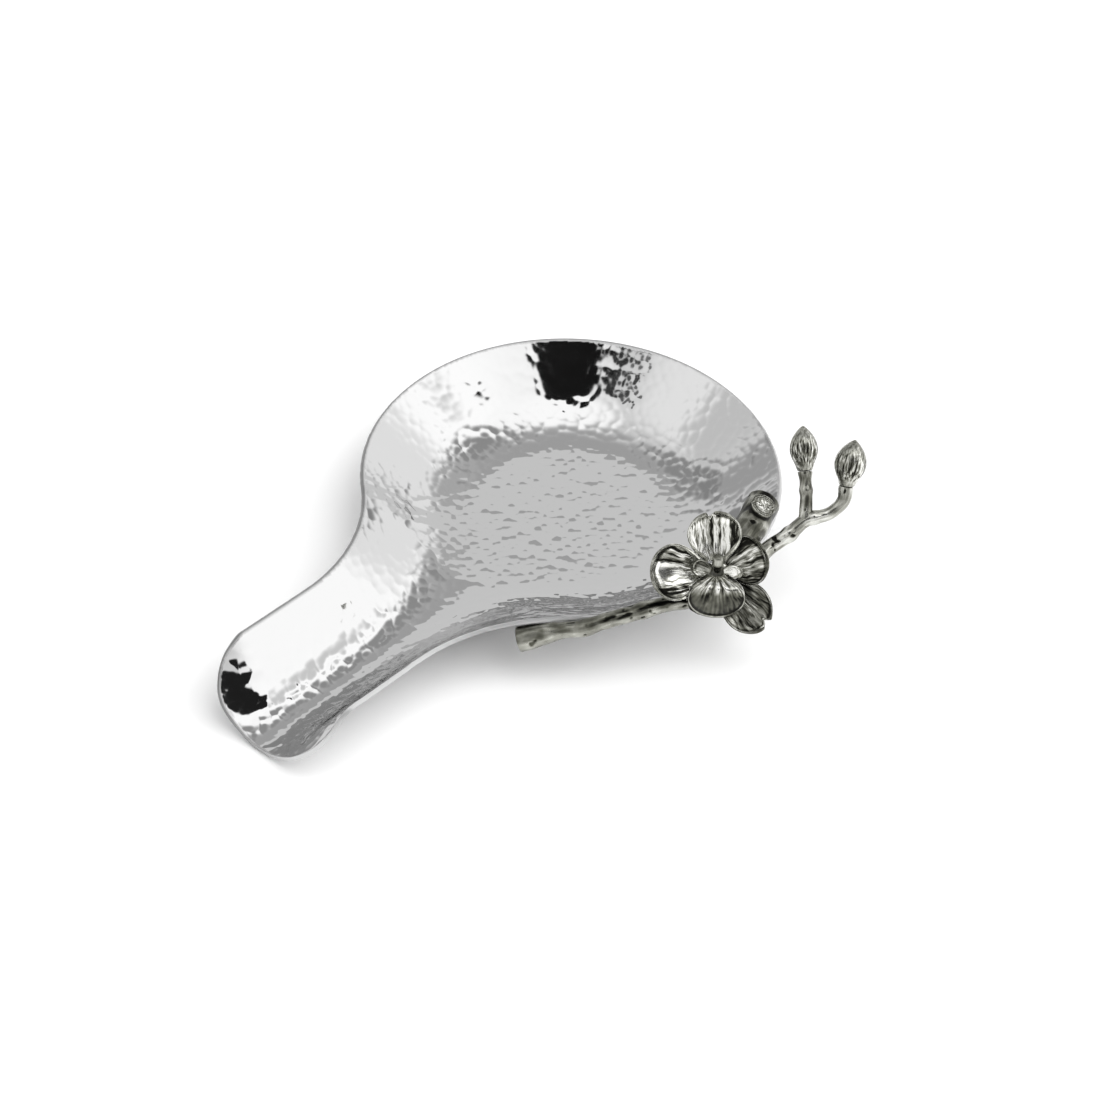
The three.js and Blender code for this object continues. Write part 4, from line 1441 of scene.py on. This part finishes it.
        wear = blade.tone + (tip - blade.tone) * ramp(share, 0.3, 0.25)
        wear = wear + blade.lining * (fine + 0.6 * broad) + blade.vein_wear * veins * grow
        wear = wear - flutes * ragged - blade.claw_dark * (1 - ramp(part, 0, 0.2))
        bright = (self.edge_tone - wear) * blade.rim * bump(to_edge - light, light_wide)
        wear = wear + bright - self.groove_dark * bump(to_edge - groove, 0.3)
        wear = wear * (1 - 0.5 * bump(to_edge, 0.12))
        patchy = np.clip(0.6 + 1.3 * mottle(rooted, self.patch_size, blade.shift + 6), 0.1, 1)
        lined = blade.lined * patchy * ramp(to_edge, 0, 0.8) * (1 - blade.bare * ramp(share, 0.4, 0.2))
        turn, far = math.radians(blade.turn), blade.root + along
        right = far * math.cos(turn) - aside * math.sin(turn)
        up = far * math.sin(turn) + aside * math.cos(turn)
        place_points(piece, self.on_flower(right, up, high))
        note(piece, WEAR_AND_SHADE, np.clip(wear, 0, 1))
        strands = points_of(sway * self.grain_width, part * reach * self.grain_press, blade.shift * 7)
        note(piece, GRAIN, strands)
        note(piece, LINED, lined)
        close_mesh(piece, self.front)
        finish_with(piece, "SOLIDIFY", thickness=blade.thickness * MM, offset=-1.0)
        finish_with(piece, "SUBSURF", levels=1, render_levels=1)
        return piece

    def stalk(self) -> Bar:
        """Stalk and hub, one casting that widens to the hub over its last stretch.

        Returns:
            The bar to build.
        """
        half_up = self.foot + (self.bend - self.foot) * 0.55
        hub = [self.on_flower(0, 0, -self.hub_length / 2), self.on_flower(0, 0, 0)]
        path, depth = Path([self.foot, half_up, self.bend, *hub]), self.stalk_bark
        hub_share = self.hub_length / path.length
        bark = self.spray.bark(path, depth, path.length)

        def girth(share: Points) -> Points:
            """Radius at a share of the stalk, which widens to the hub."""
            widen = ramp(share - 1 + hub_share, 0, hub_share / 3)
            return self.stalk_radius + (self.hub_radius - self.stalk_radius) * widen

        def wear(share: Points, turn: Points) -> Points:
            """Wear at a share and a turn: most on the hub's face."""
            ridges = self.stalk_rub * bark(share, turn) / depth
            return self.stalk_tone + ridges + self.hub_light * ramp(share, *self.hub_face)

        return Bar("blossom_stalk", path, girth, bark, wear, rings=120)

    def column(self) -> Bar:
        """The column: a short post with a swollen cap, which leans towards the dorsal sepal.

        Returns:
            The bar to build.
        """
        gap, foot, length = self.spray.braze_gap, self.column_offset, self.column_length
        half_way, end = self.column_lean
        rises = ((0, 0), (half_way, length * 0.55), (end, length * 0.85))
        path = Path([self.on_flower(0, foot + lean, gap + rise) for lean, rise in rises])

        def girth(share: Points) -> Points:
            """Radius at a share of the column, which swells to its cap."""
            return self.column_radius * (0.85 + 0.25 * ramp(share, 0.4, 0.3))

        def relief(share: Points, turn: Points) -> Points:
            """Two shallow grooves up the shaft."""
            fade = 1 - ramp(share, 0.5, 0.2)
            return self.column_groove * np.cos(2 * turn) * ramp(share, 0, 0.2) * fade

        def wear(share: Points, turn: Points) -> Points:
            """Bright, with a dark ring under the cap."""
            shade = 0.75 * bump(share - 0.56, 0.07) + 0.4 * ramp(share, 0.6, 0.1)
            return self.column_tone + 3.0 * relief(share, turn) - shade

        return Bar("blossom_column", path, girth, relief, wear, rings=70, around=40, cap=0.75, cap_rings=14)

    def build(self, nickel: Material) -> None:
        """Builds every piece of the blossom and hangs it on the frame.

        Args:
            nickel: The casting's finish.
        """
        settle(self.stalk().build(), "flower_stalk", nickel)
        for blade in self.blades():
            settle(self.build_blade(blade), blade.node, nickel)
        settle(self.column().build(), "column", nickel)


# ---------------------------------------------------------------- studio


@dataclass(frozen=True)
class Card:
    """A round patch of the studio that the metal mirrors, seen from the object."""

    azimuth: float  # degrees clockwise from straight behind the object, as the camera sees it
    elevation: float
    radius: float
    soft: float
    grey: float


@dataclass
class Studio:
    """Paper floor, the room round the object, one soft lamp and the camera."""

    azimuth: float = 50.3  # turn from the object's X axis to the picture's right
    elevation: float = 41.835
    roll: float = 2.274
    distance: float = 1000.0
    aim_height: float = 20.0
    picture: float = 1100.0  # pixels along a side of the photograph's frame
    focal: float = 3158.0  # pixels
    aim_pixel: Pair = (571.298, 471.318)
    sensor: float = 36.0
    floor_size: float = 9000.0
    lamp_power: float = 1.85  # watts a square metre, square to the light
    lamp_width: float = 75.0  # degrees across, seen from the object
    lamp_way: Pair = (97.0, 54.0)  # azimuth and elevation
    room: float = 0.94
    cards: tuple[Card, ...] = (
        Card(150, 80, 14, 14, 1.6),
        Card(95, 40, 28, 22, 1.65),
        Card(84, 16, 15, 9, 1.6),
        Card(49, 20, 15, 10, 1.22),
        Card(91, 38, 4, 7, 0.95),
        Card(-98, 46, 12, 16, 1.25),
        Card(0, 57, 17, 15, 0.55),
        Card(52, 57, 11, 6, 0.42),
        Card(33, 40, 9, 8, 0.62),
        Card(-4, 7, 39.5, 0.9, 0.9),
        Card(-75, 38, 8, 8, 0.85),
        Card(-40, 51, 9, 5, 0.4),
        Card(-47, 34, 8, 5, 0.36),
        Card(-49, 20, 7, 5, 0.52),
        Card(-34, 8, 5, 3, 0.36),
        Card(-152, 61, 3, 0.6, 0.02),
        Card(-143, 63, 2.2, 0.6, 0.04),
        Card(-135, 60, 2, 0.6, 0.08),
        Card(-127, 62, 1.6, 0.6, 0.2),
        Card(174, 62, 13, 1.0, 0.012),
        Card(174, 51, 13, 1.0, 0.012),
        Card(126, 40, 11.5, 1.0, 0.02),
        Card(111, 45, 7.5, 1.0, 0.02),
        Card(143, 39, 8, 1.0, 0.02),
        Card(45, 3, 8, 4, 0.35),
    )

    def place(self, right: float, away: float, up: float) -> Vector:
        """A direction or point given as the camera sees it, in the object's frame.

        Args:
            right: How far to the picture's right.
            away: How far from the camera, on the level.
            up: How far up.

        Returns:
            The direction or point.
        """
        turn = math.radians(self.azimuth)
        cos, sin = math.cos(turn), math.sin(turn)
        return Vector((right * cos + away * sin, -right * sin + away * cos, up))

    def way_to(self, azimuth: float, elevation: float) -> Vector:
        """Unit direction from the object, clockwise from straight behind it."""
        away, right, up = toward(azimuth, elevation)
        return self.place(right, away, up)

    def add_camera(self) -> None:
        """Sets up the camera where the photograph was taken from."""
        high, roll = math.radians(self.elevation), math.radians(self.roll)
        ahead = self.place(0, math.cos(high), -math.sin(high))
        level, top = self.place(1, 0, 0), self.place(0, math.sin(high), math.cos(high))
        right = level * math.cos(roll) + top * math.sin(roll)
        up = top * math.cos(roll) - level * math.sin(roll)
        eye = (Vector((0, 0, self.aim_height)) - ahead * self.distance) * MM
        lens = bpy.data.cameras.new("camera")
        lens.sensor_width, lens.lens = self.sensor, self.sensor * self.focal / self.picture
        lens.shift_x = (self.picture / 2 - self.aim_pixel[0]) / self.picture
        lens.shift_y = (self.aim_pixel[1] - self.picture / 2) / self.picture
        camera = bpy.data.objects.new("camera", lens)
        camera.matrix_world = Matrix.Translation(eye) @ Matrix((right, up, -ahead)).transposed().to_4x4()
        bpy.context.scene.collection.objects.link(camera)
        bpy.context.scene.camera = camera

    def add_floor(self) -> None:
        """Lays the paper that the object stands on."""
        bpy.ops.object.select_all(action="DESELECT")
        bpy.ops.mesh.primitive_plane_add(size=self.floor_size * MM)
        floor = bpy.context.active_object
        floor.name = "paper_floor"
        floor.data.materials.append(TablePaper().make())

    def add_room(self) -> None:
        """Makes the world a plain white room with the grey and dark patches that the metal shows."""
        world = bpy.data.worlds.new("studio_room")
        bpy.context.scene.world = world
        world.use_nodes = True
        tree = world.node_tree
        tree.nodes.clear()
        way = add_node(tree, "TexCoord").outputs["Generated"]
        below = None
        for card in self.cards:
            facing = add_node(tree, "VectorMath", {0: way}, operation="DOT_PRODUCT")
            facing.inputs[1].default_value = self.way_to(card.azimuth, card.elevation)
            turned = facing.outputs["Value"]
            inside = add_node(tree, "MapRange", {"Value": turned}, interpolation_type="SMOOTHSTEP",
                              From_Min=math.cos(math.radians(card.radius + card.soft)),
                              From_Max=math.cos(math.radians(max(card.radius - card.soft, 0))))
            layer = add_node(tree, "Mix", {0: inside}, data_type="RGBA")
            layer.inputs[6].default_value = (self.room, self.room, self.room, 1)
            layer.inputs[7].default_value = (card.grey, card.grey, card.grey, 1)
            if below is not None:
                tree.links.new(below, layer.inputs[6])
            below = layer.outputs[2]
        light = add_node(tree, "Background", {"Color": below}, Strength=1.0)
        add_node(tree, "OutputWorld", {"Surface": light})

    def add_lamp(self) -> None:
        """Adds the broad soft lamp to the right of the object, which the metal doesn't show."""
        light = bpy.data.lights.new("soft_lamp", "SUN")
        light.energy, light.angle = self.lamp_power, math.radians(self.lamp_width)
        lamp = bpy.data.objects.new("soft_lamp", light)
        lamp.rotation_euler = self.way_to(*self.lamp_way).to_track_quat("Z", "Y").to_euler()
        lamp.visible_glossy = False
        bpy.context.scene.collection.objects.link(lamp)

    def build(self) -> None:
        """Sets up the whole studio."""
        bpy.context.scene.view_settings.view_transform = "Standard"
        self.add_camera()
        self.add_floor()
        self.add_room()
        self.add_lamp()


def main() -> None:
    """Builds the dish, the spray, the blossom and the studio."""
    logging.basicConfig(level=logging.INFO, format="%(name)s: %(message)s")
    steel, nickel = HammeredSteel().make(), AntiquedNickel().make()
    dish = Dish()
    settle(dish.build(), "dish", steel)
    spray = Spray(dish)
    spray.build(nickel)
    Blossom(spray).build(nickel)
    Studio().build()


if __name__ == "__main__":
    main()
